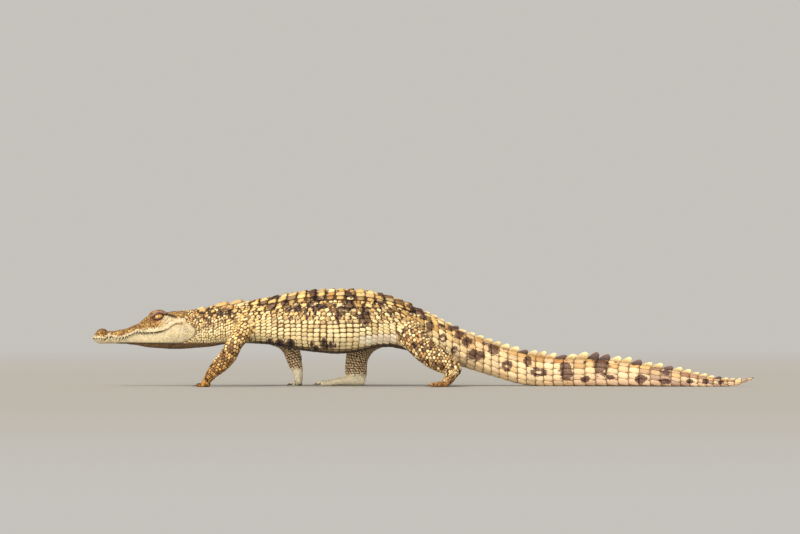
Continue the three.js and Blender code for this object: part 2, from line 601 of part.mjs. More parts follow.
const rowEdge = FIRST_SCUTE - SCUTE_PITCH / 2;
const scuteEdges = evenly(rowEdge, rowEdge + SCUTE_PITCH * (SCUTE_ROWS - 1), SCUTE_ROWS);
const lengths = {
  neck: { stations: evenly(SKULL_END + margin, SHOULDER - margin, 8), sides: BODY_SIDES },
  torso: { stations: [SHOULDER + margin, ...scuteEdges, HIP - margin], sides: BODY_SIDES },
  tail_base: { stations: evenly(HIP + margin, TAIL_CUTS[0] - margin, 9), sides: 16 },
  tail_middle: { stations: evenly(TAIL_CUTS[0] + margin, TAIL_CUTS[1] - margin, 9), sides: 14 },
  tail_tip: { stations: evenly(TAIL_CUTS[1] + margin, BODY_LENGTH, 12), sides: 12 },
};
const core = (name) => trunk(lengths[name].stations, 0, lengths[name].sides);

node("neck", joined([core("neck").subtract(lowerJaw(GAP)), plates(neckScutes(), SKULL_END, SHOULDER)]));
node("torso", joined([core("torso"), plates(backScutes(), SHOULDER, HIP)]));
const cuts = [HIP, ...TAIL_CUTS, BODY_LENGTH];
["tail_base", "tail_middle", "tail_tip"].forEach((name, i) => {
  node(name, onFloor(joined([core(name), plates(crest(cuts[i], cuts[i + 1]), cuts[i], cuts[i + 1])])));
});

// The trunk grown by the clearance, which the legs are cut by.
const grown = joined(["neck", "torso", "tail_base"].map((name) => {
  const stations = [...lengths[name].stations];
  stations[0] -= GAP;
  stations[stations.length - 1] += GAP;
  return trunk(stations, GAP, lengths[name].sides);
}));
for (const [name, shape] of Object.entries(LEGS)) {
  const way = name.endsWith("left") ? -1 : 1;
  const upper = pastPlane(limb(shape.leg, LIMB_SIDES, LIMB_ROWS), shape.cut, -1).subtract(grown);
  const lower = pastPlane(foot(shape, way), shape.cut, 1);
  node(name, onFloor(upper));
  node(name.replace("leg", "foot"), onFloor(lower));
}

// The part stands on the middle of its own footprint.
const animal = new THREE.Group();
animal.add(...meshes);
const box = new THREE.Box3().setFromObject(animal);
const centre = box.getCenter(vec(0, 0, 0));
for (const mesh of meshes) mesh.position.set(-centre.x, -centre.y, -box.min.z);

export default animal;
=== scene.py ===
# %% [markdown]
# # A young Nile crocodile in mid stride
# A museum model of a living animal is mostly surface: one unbroken skin, thousands of horny scales set
# into it, and a few hard pieces such as eyes, teeth and claws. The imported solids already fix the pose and
# every main measure, so this notebook starts from them and only adds what the eye looks for up close.

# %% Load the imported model
import math

import bmesh
import bpy
import numpy as np
from mathutils import Matrix, Vector, noise
from mathutils.bvhtree import BVHTree
from mathutils.kdtree import KDTree


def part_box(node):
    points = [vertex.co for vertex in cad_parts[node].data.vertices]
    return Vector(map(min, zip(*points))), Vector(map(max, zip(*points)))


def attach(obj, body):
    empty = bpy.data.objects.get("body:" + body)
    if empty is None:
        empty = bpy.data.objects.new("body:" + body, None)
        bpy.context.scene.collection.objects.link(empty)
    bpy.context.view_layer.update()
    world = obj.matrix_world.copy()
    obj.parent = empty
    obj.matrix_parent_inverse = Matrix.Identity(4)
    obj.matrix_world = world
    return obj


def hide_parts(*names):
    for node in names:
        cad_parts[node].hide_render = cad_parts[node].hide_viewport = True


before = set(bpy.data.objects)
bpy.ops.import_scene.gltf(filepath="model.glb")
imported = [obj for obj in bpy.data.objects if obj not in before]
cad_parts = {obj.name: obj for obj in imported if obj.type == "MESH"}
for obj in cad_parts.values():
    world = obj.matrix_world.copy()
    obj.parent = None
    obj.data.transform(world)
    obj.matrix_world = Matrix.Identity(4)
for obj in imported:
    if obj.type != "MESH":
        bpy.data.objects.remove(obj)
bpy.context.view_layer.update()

MM = 0.001
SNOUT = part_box("head")[0].x
MIDLINE = (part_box("eye_left")[0].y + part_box("eye_right")[1].y) / 2
print("solids", sorted(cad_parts), "snout at", round(SNOUT, 4))


# %% [markdown]
# The tables below are in millimetres behind the tip of the snout, above the floor and off the midline. A few
# helpers bring them into the scene's metres, turn a screen colour into light values and shape soft steps.

# %% Units, colours and soft steps
ORIGIN = np.array([SNOUT, MIDLINE, 0.0])


def to_scene(points):
    return np.asarray(points, float) * MM + ORIGIN


def to_mm(points):
    return (np.asarray(points, float) - ORIGIN) / MM


def linear(red, green, blue):
    share = np.array([red, green, blue], float) / 255
    return np.where(share <= 0.04045, share / 12.92, ((share + 0.055) / 1.055) ** 2.4)


def smooth(value, low=0.0, high=1.0):
    share = np.clip((np.asarray(value, float) - low) / (high - low), 0, 1)
    return share * share * (3 - 2 * share)


def hill(value, middle, spread, power=2):
    """1 in the middle, falling smoothly to 0 on both sides."""
    return np.exp(-((value - middle) / spread) ** power)


def unit(vectors):
    return vectors / np.maximum(np.linalg.norm(vectors, axis=-1, keepdims=True), 1e-9)


print("cream in linear light", linear(232, 208, 150).round(3))

# %% Objects and shader nodes
def link_object(name, data):
    made = bpy.data.objects.new(name, data)
    bpy.context.scene.collection.objects.link(made)
    return made


def mesh_object(name, bm):
    mesh = bpy.data.meshes.new(name)
    bm.to_mesh(mesh)
    bm.free()
    return link_object(name, mesh)


def new_material(name):
    material = bpy.data.materials.new(name)
    material.use_nodes = True
    return material, material.node_tree


def put(tree, node, values):
    """Fills a node's inputs: a socket is linked, and anything else is set as a fixed value."""
    for key, value in values.items():
        if isinstance(value, bpy.types.NodeSocket):
            tree.links.new(value, node.inputs[key])
        else:
            node.inputs[key].default_value = value


def add_node(tree, kind, values, **settings):
    node = tree.nodes.new("ShaderNode" + kind)
    for key, value in settings.items():
        setattr(node, key, value)
    put(tree, node, values)
    return node


print("helpers ready")

# %% [markdown]
# ## Camera, floor and light
# A long lens from far away and low down gives the flat side view of a wildlife picture. The floor is a wide
# disc that fades into the colour of the sky, so that no horizon cuts the animal. One soft sun from above and
# in front models the scales, and a weaker, lower one and the pale sky fill the shadows.

# %% Camera
LENS = 280
CAMERA_DISTANCE = 14.0
CAMERA_HEIGHT = 0.268
VIEW_CENTRE = 0.69075  # metres behind the snout
camera_data = bpy.data.cameras.new("camera")
camera_data.lens = LENS
camera_data.sensor_width = 36
camera_data.clip_end = 200
camera = link_object("camera", camera_data)
camera.location = (SNOUT + VIEW_CENTRE, MIDLINE - CAMERA_DISTANCE, CAMERA_HEIGHT)
camera.rotation_euler = (math.radians(90), 0, 0)
bpy.context.scene.camera = camera
print("camera at", [round(v, 3) for v in camera.location])

# %% Floor
SKY = (0.56, 0.54, 0.505)
PAPER = (0.38, 0.366, 0.342)
FLOOR_RADIUS = 60
FADE_FROM, FADE_TO = 1.2, 7.0


def make_floor():
    bm = bmesh.new()
    bmesh.ops.create_circle(bm, cap_ends=True, segments=96, radius=FLOOR_RADIUS)
    floor = mesh_object("floor", bm)
    material, tree = new_material("floor_paper")
    plain = tree.nodes["Principled BSDF"]
    put(tree, plain, {"Base Color": (*PAPER, 1), "Roughness": 0.9})
    place = add_node(tree, "TexCoord", {})
    far = add_node(tree, "VectorMath", {0: place.outputs["Object"]}, operation="LENGTH")
    fade = add_node(tree, "MapRange", {"Value": far.outputs["Value"], "From Min": FADE_FROM,
                                       "From Max": FADE_TO}, interpolation_type="SMOOTHSTEP")
    glow = add_node(tree, "Emission", {"Color": (*SKY, 1)})
    both = add_node(tree, "MixShader", {"Fac": fade.outputs["Result"], 1: plain.outputs["BSDF"],
                                        2: glow.outputs["Emission"]})
    put(tree, tree.nodes["Material Output"], {"Surface": both.outputs["Shader"]})
    floor.data.materials.append(material)
    return floor


print("floor", make_floor().name, "radius", FLOOR_RADIUS, "m")

# %% Sky and suns
SUNS = {"sun": {"energy": 2.6, "spread": 7, "colour": (1.0, 0.93, 0.82), "from": (-0.42, -0.60, 0.80)},
        "low_fill": {"energy": 1.9, "spread": 35, "colour": (1.0, 0.95, 0.87), "from": (-0.30, -0.93, 0.20)}}
world = bpy.data.worlds.new("studio")
world.use_nodes = True
world.node_tree.nodes["Background"].inputs["Color"].default_value = (*SKY, 1)
bpy.context.scene.world = world
for name, look in SUNS.items():
    data = bpy.data.lights.new(name, "SUN")
    data.energy = look["energy"]
    data.angle = math.radians(look["spread"])
    data.color = look["colour"]
    link_object(name, data).rotation_euler = Vector(look["from"]).to_track_quat("Z", "Y").to_euler()
bpy.context.scene.view_settings.view_transform = "Standard"
print("suns", list(SUNS))

# %% [markdown]
# ## The measures of the body
# Each table pairs a station with a value, and one smooth curve that never overshoots reads between them.
# They are the same driving measures as the solids', which keeps the skin where the solids are.

# %% Tables of the trunk and tail
BODY_LENGTH = 1485
FLAT = 0.8
WIDEST = 0.45
BACK = [[212, 170], [231, 172], [251, 173.8], [262, 177], [275, 180], [290, 182.5],
    [310, 184], [327, 187], [352, 189], [390, 194.5], [445, 205.5], [503, 213], [550, 215],
    [600, 213.6], [646, 205], [704, 185], [761, 159], [805, 134], [834, 120.5], [874, 105.5],
    [915, 89], [958, 77], [998, 67.5], [1041, 62.5], [1090, 61], [1141, 58.5], [1186, 53],
    [1232, 46.5], [1280, 39.5], [1319, 32], [1373, 21.5], [1409, 16], [1442, 14], [1473, 18.5],
    [1485, 21]]
BELLY = [[212, 86], [258, 89], [298, 95], [341, 97], [388, 95], [463, 82], [510, 76.5],
    [549, 73.5], [590, 77], [645, 88], [668, 88.5], [686, 85.5], [715, 79], [760, 65.5], [828, 45.5],
    [863, 34.5], [892, 25.5], [920, 17], [949, 8.5], [978, 2.5], [1005, -FLAT], [1405, -FLAT],
    [1442, 3], [1473, 14.5], [1485, 19.5]]
HALF_WIDTH = [[212, 46], [235, 46.5], [270, 45], [300, 49], [340, 60], [390, 70], [445, 78],
    [503, 83], [550, 84.5], [600, 82], [646, 75], [690, 65], [730, 56], [780, 49], [834, 43],
    [900, 37], [978, 31.5], [1067, 26.5], [1141, 22.5], [1231, 17.5], [1319, 12.5], [1373, 9],
    [1430, 5.5], [1485, 1.6]]
SWAY = [[0, 0], [230, 0], [330, -3], [450, -13], [560, -18], [650, -13], [720, -3], [800, 10],
    [900, 22], [1000, 20], [1100, 2], [1200, -24], [1300, -46], [1390, -54], [1450, -48], [1485, -38]]
SQUARENESS = [[212, 2.3], [340, 2.4], [550, 2.5], [760, 2.3], [1000, 2.6], [1485, 2.2]]
print("stations of the back", len(BACK))

# %% Tables of the head
SNOUT_TOP = [[0, 110], [4, 118], [9, 123.5], [14, 125.5], [22, 126], [30, 123.8], [38, 124],
    [48, 124.2], [56, 126], [62, 127.2], [70, 128.3], [78, 130.8], [84, 133.4], [90, 136], [98, 139],
    [106, 143.6], [112, 147.8], [118, 152.5], [124, 158], [131, 161.6], [142, 163.6], [165, 166],
    [180, 168.4], [200, 169.6], [215, 170]]
GAPE = [[0, 107.5], [16, 108], [28, 105.5], [36, 113], [46, 110], [58, 107.5], [72, 110],
    [85, 115.5], [102, 121.5], [119, 120.5], [137, 121], [154, 124], [168, 128.5], [178, 136],
    [189, 141.5], [209, 142.5], [232, 140]]
UPPER_HALF = [[0, 3], [2, 8], [6, 13.5], [12, 17.5], [19, 19], [28, 17.5], [36, 15.2],
    [44, 17], [56, 20.5], [72, 21], [90, 23], [108, 27], [125, 32], [142, 37], [160, 42.5],
    [180, 47.5], [200, 50.5], [215, 51]]
LOWER_HALF = [[0, 2], [3, 5], [8, 9], [15, 11.8], [24, 13], [30, 15.5], [36, 18.3],
    [43, 14.5], [50, 13.6], [56, 14.6], [72, 15.4], [90, 17.4], [108, 21.4], [125, 26.6], [142, 31.8],
    [160, 38.5], [180, 44.5], [200, 48.5], [215, 49.5], [226, 48.5], [232, 46]]
JAW_BOTTOM = [[0, 105], [4, 101], [9, 98], [16, 95.7], [46, 96], [58, 95.3], [74, 95.2],
    [84, 93.6], [98, 92.2], [111, 89.6], [122, 87.5], [138, 86], [154, 85], [170, 84], [186, 84],
    [217, 85], [232, 86.5]]
UPPER_SQUARENESS = [[0, 2], [40, 2.4], [100, 2.2], [150, 1.9], [215, 1.75]]
LOWER_SQUARENESS = [[0, 2.2], [60, 2.6], [130, 2.4], [232, 2.5]]
TABLE_HALF = [[152, 1], [158, 9], [166, 21], [206, 27], [240, 27]]
EYE = np.array([148, 21.5, 156.5])
EYE_RADIUS = 11
EYE_STRETCH = 1.16  # the visible ball is a little longer than high
print("stations of the mouth line", len(GAPE))


# %% Reading a table
def along(table, x):
    places, values = np.array(table, float).T
    slope = np.diff(values) / np.diff(places)
    before, after = slope[:-1], slope[1:]
    tangent = np.concatenate([slope[:1], np.zeros(len(slope) - 1), slope[-1:]])
    same_way = before * after > 0
    tangent[1:-1][same_way] = (2 * before * after)[same_way] / (before + after)[same_way]
    x = np.clip(x, places[0], places[-1])
    i = np.clip(np.searchsorted(places, x, side="right") - 1, 0, len(places) - 2)
    h = places[i + 1] - places[i]
    t = (x - places[i]) / h
    s = 1 - t
    return (values[i] * s * s * (1 + 2 * t) + values[i + 1] * t * t * (1 + 2 * s)
            + h * t * s * (tangent[i] * s - tangent[i + 1] * t))


print("back at the shoulder", along(BACK, 343).round(1), "mm")

# %% [markdown]
# ## The shape of one cross-section
# A trunk section is a rounded square, narrower at the belly. A head section is two half domes, the upper and
# the lower jaw, with a narrow groove for the mouth between them. Both are lists of the same length from the
# middle of the back round to the middle of the belly, so the head can melt into the neck.

# %% Sections
COLUMNS = 66  # from the back's midline to the belly's midline
DOME_COLUMNS = 40
LIP_COLUMNS = 3
HEAD_ENDS, NECK_STARTS = 196, 240


def evenly(line, count):
    steps = np.hypot(*np.diff(line, axis=0).T)
    walked = np.concatenate([[0], np.cumsum(steps)])
    wanted = np.linspace(0, walked[-1], count)
    return np.stack([np.interp(wanted, walked, line[:, k]) for k in range(2)], 1)


def trunk_section(x):
    turn = np.linspace(0, math.pi, 241)
    top, bottom = along(BACK, x), along(BELLY, x)
    widest = bottom + WIDEST * (top - bottom)
    bulge = 2 / along(SQUARENESS, x)
    rise = np.cos(turn)
    reach = np.where(rise > 0, top - widest, widest - bottom)
    across = along(HALF_WIDTH, x) * np.abs(np.sin(turn)) ** bulge
    height = widest + reach * np.sign(rise) * np.abs(rise) ** bulge
    return evenly(np.stack([across, height], 1), COLUMNS + 1)


print("trunk section at the shoulder", trunk_section(343)[[0, 33, 66]].round(1).tolist())

# %% [markdown]
# The lumps of the head are eggs and one flat roof. Each ray from the middle of the mouth is made as long as
# the longest of them needs, with a soft corner where two meet, which is how clay is built up over a core.

# %% Lumps of the head
BROW = {"at": (146.5, 20.5, 158.2), "radii": (21, 14, 13.6), "pitch": -0.06, "yaw": 0.0}
CANTHUS = {"at": (121, 15, 150), "radii": (21, 7, 5), "pitch": -0.62, "yaw": 0.25}
NASAL_DISC = {"at": (20.5, 0, 122.8), "radii": (11, 12, 6.7), "pitch": -0.06, "yaw": 0.0}
ROOF_HEIGHT, ROOF_MIDDLE, ROOF_PITCH = 170, 190, 0.05
SOFT_CORNER = 3.0


def egg_reach(egg, x, mouth, rays):
    turn = Matrix.Rotation(egg["yaw"], 3, "Z") @ Matrix.Rotation(egg["pitch"], 3, "Y")
    shrink = np.array(turn.inverted()) / np.array(egg["radii"])[:, None]
    start = shrink @ (np.array([x, 0, mouth]) - egg["at"])
    along_ray = rays @ shrink[:, 1:].T
    a = (along_ray ** 2).sum(1)
    b = along_ray @ start
    inside = b * b - a * (start @ start - 1)
    return np.where(inside > 0, (-b + np.sqrt(np.abs(inside))) / a, 0)


def roof_reach(x, mouth, rays):
    if x < TABLE_HALF[0][0]:
        return np.zeros(len(rays))
    corner = 9
    tall = ROOF_HEIGHT + ROOF_PITCH * (x - ROOF_MIDDLE) - mouth
    share = np.abs(rays[:, 0]) / along(TABLE_HALF, x), np.maximum(rays[:, 1], 0) / tall
    return 1 / np.maximum(share[0] ** corner + share[1] ** corner, 1e-9) ** (1 / corner)


def soft_max(a, b):
    near = np.maximum(SOFT_CORNER - np.abs(a - b), 0)
    return np.maximum(a, b) + near ** 2 / (4 * SOFT_CORNER)


print("brow reaches", round(BROW["at"][2] + BROW["radii"][2], 1), "mm above the floor")


# %% Sections of the head
LIP_STEPS = ((0.3, 0.8), (0.5, 1), (0.75, 0.8))  # share of the way from the upper lip to the lower, and depth


def jaw_edge(x):
    """How strongly the lower jaw's bone shows as a ledge over the throat, and the ledge's height."""
    return smooth(x, 44, 92) * (1 - smooth(x, 206, 228)), 98.3 - 0.012 * (x - 100)


def throat_share(x, height):
    strength, ledge = jaw_edge(x)
    return 1 - 0.2 * strength * smooth(ledge - height, 0.0, 2.6)


def head_section(x):
    upper, lower, mouth = (along(t, x) for t in (UPPER_HALF, LOWER_HALF, GAPE))
    turn = np.linspace(0, math.pi / 2, 121)
    bulge = 2 / along(UPPER_SQUARENESS, x)
    dome = np.stack([upper * np.sin(turn) ** bulge,
                     (along(SNOUT_TOP, x) - mouth) * np.cos(turn) ** bulge], 1)
    length = np.hypot(*dome.T)
    rays = dome / length[:, None]
    for egg in (BROW, CANTHUS, NASAL_DISC):
        length = soft_max(length, egg_reach(egg, x, mouth, rays))
    length = soft_max(length, roof_reach(x, mouth, rays))
    dome = evenly(rays * length[:, None] + [0, mouth], DOME_COLUMNS + 1)
    lower_lip = mouth - (1.4 - 0.7 * smooth(x, 140, 175))
    bulge = 2 / along(LOWER_SQUARENESS, x)
    below = np.stack([lower * np.cos(turn) ** bulge,
                      lower_lip - (lower_lip - along(JAW_BOTTOM, x)) * np.sin(turn) ** bulge], 1)
    below[:, 0] *= throat_share(x, below[:, 1])
    below = evenly(below, COLUMNS - DOME_COLUMNS - LIP_COLUMNS)
    edge, start = dome[-1], below[0]
    open_mouth = 1 - smooth(x, 152, 176)
    depth = min(3.0, 0.5 * lower) * open_mouth
    lip = [edge + (start - edge) * share - [depth * pull, 0] for share, pull in LIP_STEPS]
    return np.concatenate([dome, lip, below])


print("head section at the eye", head_section(148)[[0, 20, 40, 66]].round(1).tolist())

# %% [markdown]
# ## One chart for the whole trunk
# The rings of all the stations make a grid from the snout to the tip of the tail. It serves twice. It is the
# mesh of the skin, and it is a chart that turns a station and a distance round the body into a point and a
# normal, which is how every scale later finds its place.

# %% Rings from snout to tail
HEAD_STEP, EYE_STEP, TRUNK_STEP = 1.25, 0.8, 5.0
EYE_FROM, EYE_TO = 130, 168
TIP_STATIONS = [0, 0.3, 0.8, 1.5, 2.4, 3.5, 4.7]
STATIONS = np.concatenate([TIP_STATIONS, np.arange(6, EYE_FROM, HEAD_STEP),
                           np.arange(EYE_FROM, EYE_TO, EYE_STEP), np.arange(EYE_TO, NECK_STARTS, HEAD_STEP),
                           np.arange(NECK_STARTS, BODY_LENGTH - 2, TRUNK_STEP), [BODY_LENGTH]])


def half_ring(x):
    if x >= NECK_STARTS:
        return trunk_section(x)
    if x <= HEAD_ENDS:
        return head_section(x)
    share = smooth(x, HEAD_ENDS, NECK_STARTS)
    return head_section(x) * (1 - share) + trunk_section(max(x, BACK[0][0])) * share


def on_spine(x, across, height):
    slope = (along(SWAY, x + 1) - along(SWAY, x - 1)) / 2
    steep = np.hypot(1, slope)
    return np.stack([x - across * slope / steep, along(SWAY, x) + across / steep, height + 0 * across], -1)


def full_rings():
    rings = []
    for x in STATIONS:
        half = half_ring(x)
        right = on_spine(x, half[:, 0], half[:, 1])
        left = on_spine(x, -half[:, 0], half[:, 1])
        rings.append(np.concatenate([right, left[-2:0:-1]]))
    return np.array(rings)


RINGS = full_rings()  # station, column (the right side first), xyz
print("grid", RINGS.shape)


# %% [markdown]
# The finer forms of the head are pressed into the rings: each point near an eye is drawn onto the eyeball or
# the rim of the lids, and nostrils, ear slit, lips and the folds of lid and flank push it in or out a little.

# %% Eyelids, mouth, ear and nostril as measures
LID_CORNERS = ((-14.2, -2.0), (14.4, 4.8))
LID_LOW, LID_HIGH = (1.0, -9.2), (-2.5, 11.0)
EYE_REST, LID_RISE, LID_BLEND = 9.7, 12.4, 6.0
LIP_PITCH = 7.5  # spacing of the bulges over the roots of the teeth
EAR_LINE = np.array([[165.0, 161.5], [187, 156.2]])
NOSTRIL = np.array([18.5, 5.2, 129])


def lid_curve(bend, count=41):
    t = np.linspace(0, 1, count)[:, None]
    first, last = (np.array(c) for c in LID_CORNERS)
    return (1 - t) ** 2 * first + 2 * t * (1 - t) * np.array(bend) + t ** 2 * last


def lid_opening(u, v):
    low, high = lid_curve(LID_LOW), lid_curve(LID_HIGH)
    return np.minimum(v - np.interp(u, *low.T), np.interp(u, *high.T) - v)


def segment_distance(x, z, line):
    run = line[1] - line[0]
    t = np.clip(((x - line[0][0]) * run[0] + (z - line[0][1]) * run[1]) / (run @ run), 0, 1)
    return np.hypot(x - line[0][0] - t * run[0], z - line[0][1] - t * run[1])


def beside_eye(x, y, z):
    return (np.abs(y) > 10) * hill(x, EYE[0], 15, 4) * (z > 143)


def ring_normals(rings):
    aft = np.gradient(rings, axis=0)
    across = np.roll(rings, -1, 1) - np.roll(rings, 1, 1)
    return unit(np.cross(aft, across))


print("opening of the lids", round(float(lid_opening(0, 0)), 2), "mm to the nearer lid")


# %% Details of the head, pressed into the rings
def press_eyes(rings):
    """Draws the skin round each eye onto the eyeball, and onto the raised rim of the lids."""
    x, y, z = rings[..., 0], rings[..., 1], rings[..., 2]
    side = np.where(y > 0, 1, -1)
    centre = np.stack([np.full_like(x, EYE[0]), side * EYE[1], np.full_like(x, EYE[2])], -1)
    away = rings - centre
    distance = np.linalg.norm(away, axis=2)
    ahead = np.abs(x - EYE[0])
    beside = (np.abs(y) > EYE[1] - 4) & (ahead < 24) & (z > 138)
    gap = lid_opening(x - EYE[0], z - EYE[2])
    inside = beside & (gap > 0) & (ahead < LID_CORNERS[1][0])
    near = beside & ~inside & (gap > -LID_BLEND) & (ahead < LID_CORNERS[1][0] + 1)
    flat = np.hypot((x - EYE[0]) / EYE_STRETCH, z - EYE[2])
    slim = np.linalg.norm(away / [EYE_STRETCH, 1, 1], axis=2)
    long_way = distance / np.maximum(slim, 1e-6)
    target = np.where(inside, long_way * np.maximum(EYE_REST, flat + 0.3), distance)
    rim = smooth(-gap, 0, LID_BLEND)
    target = np.where(near, LID_RISE * long_way * (1 - rim) + distance * rim, target)
    return centre + away * (target / np.maximum(distance, 1e-6))[..., None]


def press_details(rings):
    x, y, z = rings[..., 0], rings[..., 1], rings[..., 2]
    gap = lid_opening(x - EYE[0], z - EYE[2])
    fold = np.sin(gap * 2.1) * hill(gap, -6, 5) * beside_eye(x, y, z)
    ear = hill(segment_distance(x, z, EAR_LINE), 0, 1.5) * (np.abs(y) > 12) * (x < 195) * (x > 155)
    nostril = hill(x, NOSTRIL[0], 3.2) * hill(np.abs(y), NOSTRIL[1], 1.6) * (z > 124)
    above = z - along(GAPE, x.ravel()).reshape(x.shape)
    wave = x * 2 * math.pi / LIP_PITCH
    lip = np.sin(wave) * hill(above, 4.5, 3) + np.sin(wave + 2) * hill(above, -5.5, 3)
    lip *= (x > 8) * (x < 190)
    flank_fold = hill(x - 0.25 * (z - 140), 203, 2.2) * smooth(z, 96, 110) * (1 - smooth(z, 138, 150))
    return 1.1 * ear + 3.2 * nostril - 0.42 * fold - 0.34 * lip + 0.9 * flank_fold


depth = press_details(RINGS)
NORMALS = ring_normals(RINGS)
RINGS = press_eyes(RINGS) - NORMALS * depth[..., None]
NORMALS = ring_normals(RINGS)
print("head finished, widest", RINGS[..., 1].max().round(1))


# %% The chart of the trunk
SHARES = 200


def column_table(rings):
    """Column as a decimal number for each station and each share of the half girth, on the right side."""
    half = rings[:, :COLUMNS + 1]
    steps = np.linalg.norm(np.diff(half, axis=1), axis=2)
    walked = np.concatenate([np.zeros((len(rings), 1)), np.cumsum(steps, 1)], 1)
    wanted = np.linspace(0, 1, SHARES + 1)
    table = [np.interp(wanted * row[-1], row, np.arange(COLUMNS + 1)) for row in walked]
    return np.array(table), walked[:, -1]


COLUMN_OF, HALF_GIRTH = column_table(RINGS)


def half_girth(x):
    return np.interp(x, STATIONS, HALF_GIRTH)


def blend_rows(grid, row, column):
    """Reads a grid between its rows and columns. The columns close into a ring."""
    i = np.clip(row.astype(int), 0, len(grid) - 2)
    k = np.floor(column).astype(int)
    f, g = (row - i)[:, None], (column - k)[:, None]
    a, b = k % grid.shape[1], (k + 1) % grid.shape[1]
    near = grid[i, a] * (1 - g) + grid[i, b] * g
    far = grid[i + 1, a] * (1 - g) + grid[i + 1, b] * g
    return near * (1 - f) + far * f


def trunk_at(x, s, side):
    """Points and normals of the trunk's surface: s is the distance from the back's midline, in mm."""
    row = np.interp(x, STATIONS, np.arange(len(STATIONS)))
    across = s * np.where(side < 0, -1, 1)
    side = np.where(across < 0, -1, 1)
    share = np.clip(np.abs(across) / half_girth(x), 0, 2)
    side = np.where(share > 1, -side, side)
    share = np.where(share > 1, 2 - share, share)
    column = blend_rows(COLUMN_OF[..., None], row, share * SHARES)[:, 0]
    column = np.where(side < 0, (2 * COLUMNS - column) % (2 * COLUMNS), column)
    points = blend_rows(RINGS, row, column)
    return points, unit(blend_rows(NORMALS, row, column))


print("girth of the trunk at its widest", round(2 * half_girth(550)), "mm")

# %% [markdown]
# ## Legs and feet
# A crocodile's leg is a bent tube whose width and depth change from hip to ankle. A smooth line is drawn
# through the middles of a few sections and a ring is set across it at each step. The feet are made the same
# way, with a palm and one thin tube for each toe. The first three toes of every foot carry claws.

# %% Sections of the legs
LEGS = {
    "foreleg_left": {
        "leg": [[352, -30, 150, 24, 28], [345, -52, 137, 23, 25], [334, -70, 116, 20, 20],
                [321, -82, 97, 16, 17.4], [305.5, -86, 68, 14.5, 18], [287, -87, 48, 13.5, 17],
                [271, -87.5, 31, 12, 12], [263, -88, 20, 12, 10]],
        "palm": [[284, -87, 46, 12.5, 13], [270, -87.5, 30, 12.5, 12], [261, -88, 17, 15, 9.2],
                 [253, -88.5, 7, 18.5, 7.4], [248, -88.5, 5, 18, 5]],
        "toes": [[-1, -40, 16], [-0.5, -18, 20], [0, 2, 21], [0.5, 24, 19], [1, 54, 15]],
        "ball": [257, -88.5], "broad": 15, "toe": 4.4, "webbed": False,
        "cut": [[272, -87, 32], [-0.72, 0, -0.69]]},
    "foreleg_right": {
        "leg": [[350, 28, 150, 24, 28], [362, 54, 137, 23, 25], [396, 71, 115, 18, 20],
                [428, 76, 100, 16, 18.5], [443, 74, 83, 15, 17.8], [450, 71, 65, 14, 17],
                [455, 68, 46, 12.5, 14.5], [460, 67, 32, 11.5, 10.5], [461, 66.5, 22, 12, 9]],
        "palm": [[455, 68, 46, 12.5, 14.5], [459, 67, 35, 11.5, 11.5], [461.5, 66.5, 22, 13, 8.8],
                 [461, 66, 10, 17, 8.2], [460, 66, 2, 18, 7.5]],
        "toes": [[-1, -80, 16], [-0.6, -56, 19], [-0.1, -32, 18], [0.6, 60, 19], [1, 118, 18]],
        "ball": [458, 66], "broad": 14, "toe": 4.4, "webbed": False,
        "cut": [[458, 67, 38], [0.15, 0, -0.99]]},
    "hindleg_left": {
        "leg": [[690, -20, 140, 26, 36], [706, -52, 126, 26, 34], [727, -76, 103, 24, 28.5],
                [744, -86, 84, 22, 26.5], [765, -91, 68.5, 20, 26.4], [784, -93, 57.5, 18.5, 24.6],
                [800, -93, 48.5, 17, 21.5], [811, -93, 40, 16, 17], [810, -93, 30, 15, 14]],
        "palm": [[804, -93, 47, 16, 18], [808, -93, 38, 16, 17.5], [804, -93, 26, 17, 13.5],
                 [797, -93, 14, 20, 10.5], [788, -93, 7, 22.5, 7.8], [780, -93, 5, 22, 5.5]],
        "toes": [[-1, -24, 26], [-0.34, -6, 32], [0.34, 10, 32], [1, 30, 26]],
        "ball": [790, -93], "broad": 17.5, "toe": 5.3, "webbed": True,
        "cut": [[808, -93, 38.4], [0.385, 0, -0.923]]},
    "hindleg_right": {
        "leg": [[706, 18, 142, 26, 34], [690, 50, 130, 26, 34], [651, 76, 116, 24, 27.5],
                [616, 84, 98, 22, 25.5], [598, 86, 76, 20, 25.5], [592, 85, 52, 18, 24],
                [591, 84, 31, 17.5, 24], [591, 84, 8, 17.5, 22]],
        "palm": [[612, 84, 9, 9, 8], [606, 84, 10.5, 14, 11.3], [592, 84, 14, 18, 14.8],
                 [572, 85.5, 11, 20.5, 11.8], [553, 87, 8.2, 23.5, 9], [537, 88, 6.4, 25, 7.2],
                 [529, 89, 5.4, 24, 5.6]],
        "toes": [[-1, -14, 30], [-0.34, 0, 37], [0.34, 10, 37], [1, 24, 31]],
        "ball": [540, 88], "broad": 19, "toe": 5.4, "webbed": True, "cut": [[591, 84, 20.5], [0, 0, -1]]},
}
CLAWED_TOES = 3
LEG_ROWS, LEG_COLUMNS = 56, 44
PALM_ROWS, PALM_COLUMNS = 30, 40
TOE_ROWS, TOE_COLUMNS = 22, 16


def way_of(name):
    """-1 for what is on the left of the animal and 1 for what is on its right."""
    return -1 if name.endswith("left") else 1


print("legs", list(LEGS))


# %% Bent tubes
def root_length(a, b):
    return np.sqrt(np.linalg.norm(b - a, axis=1, keepdims=True))


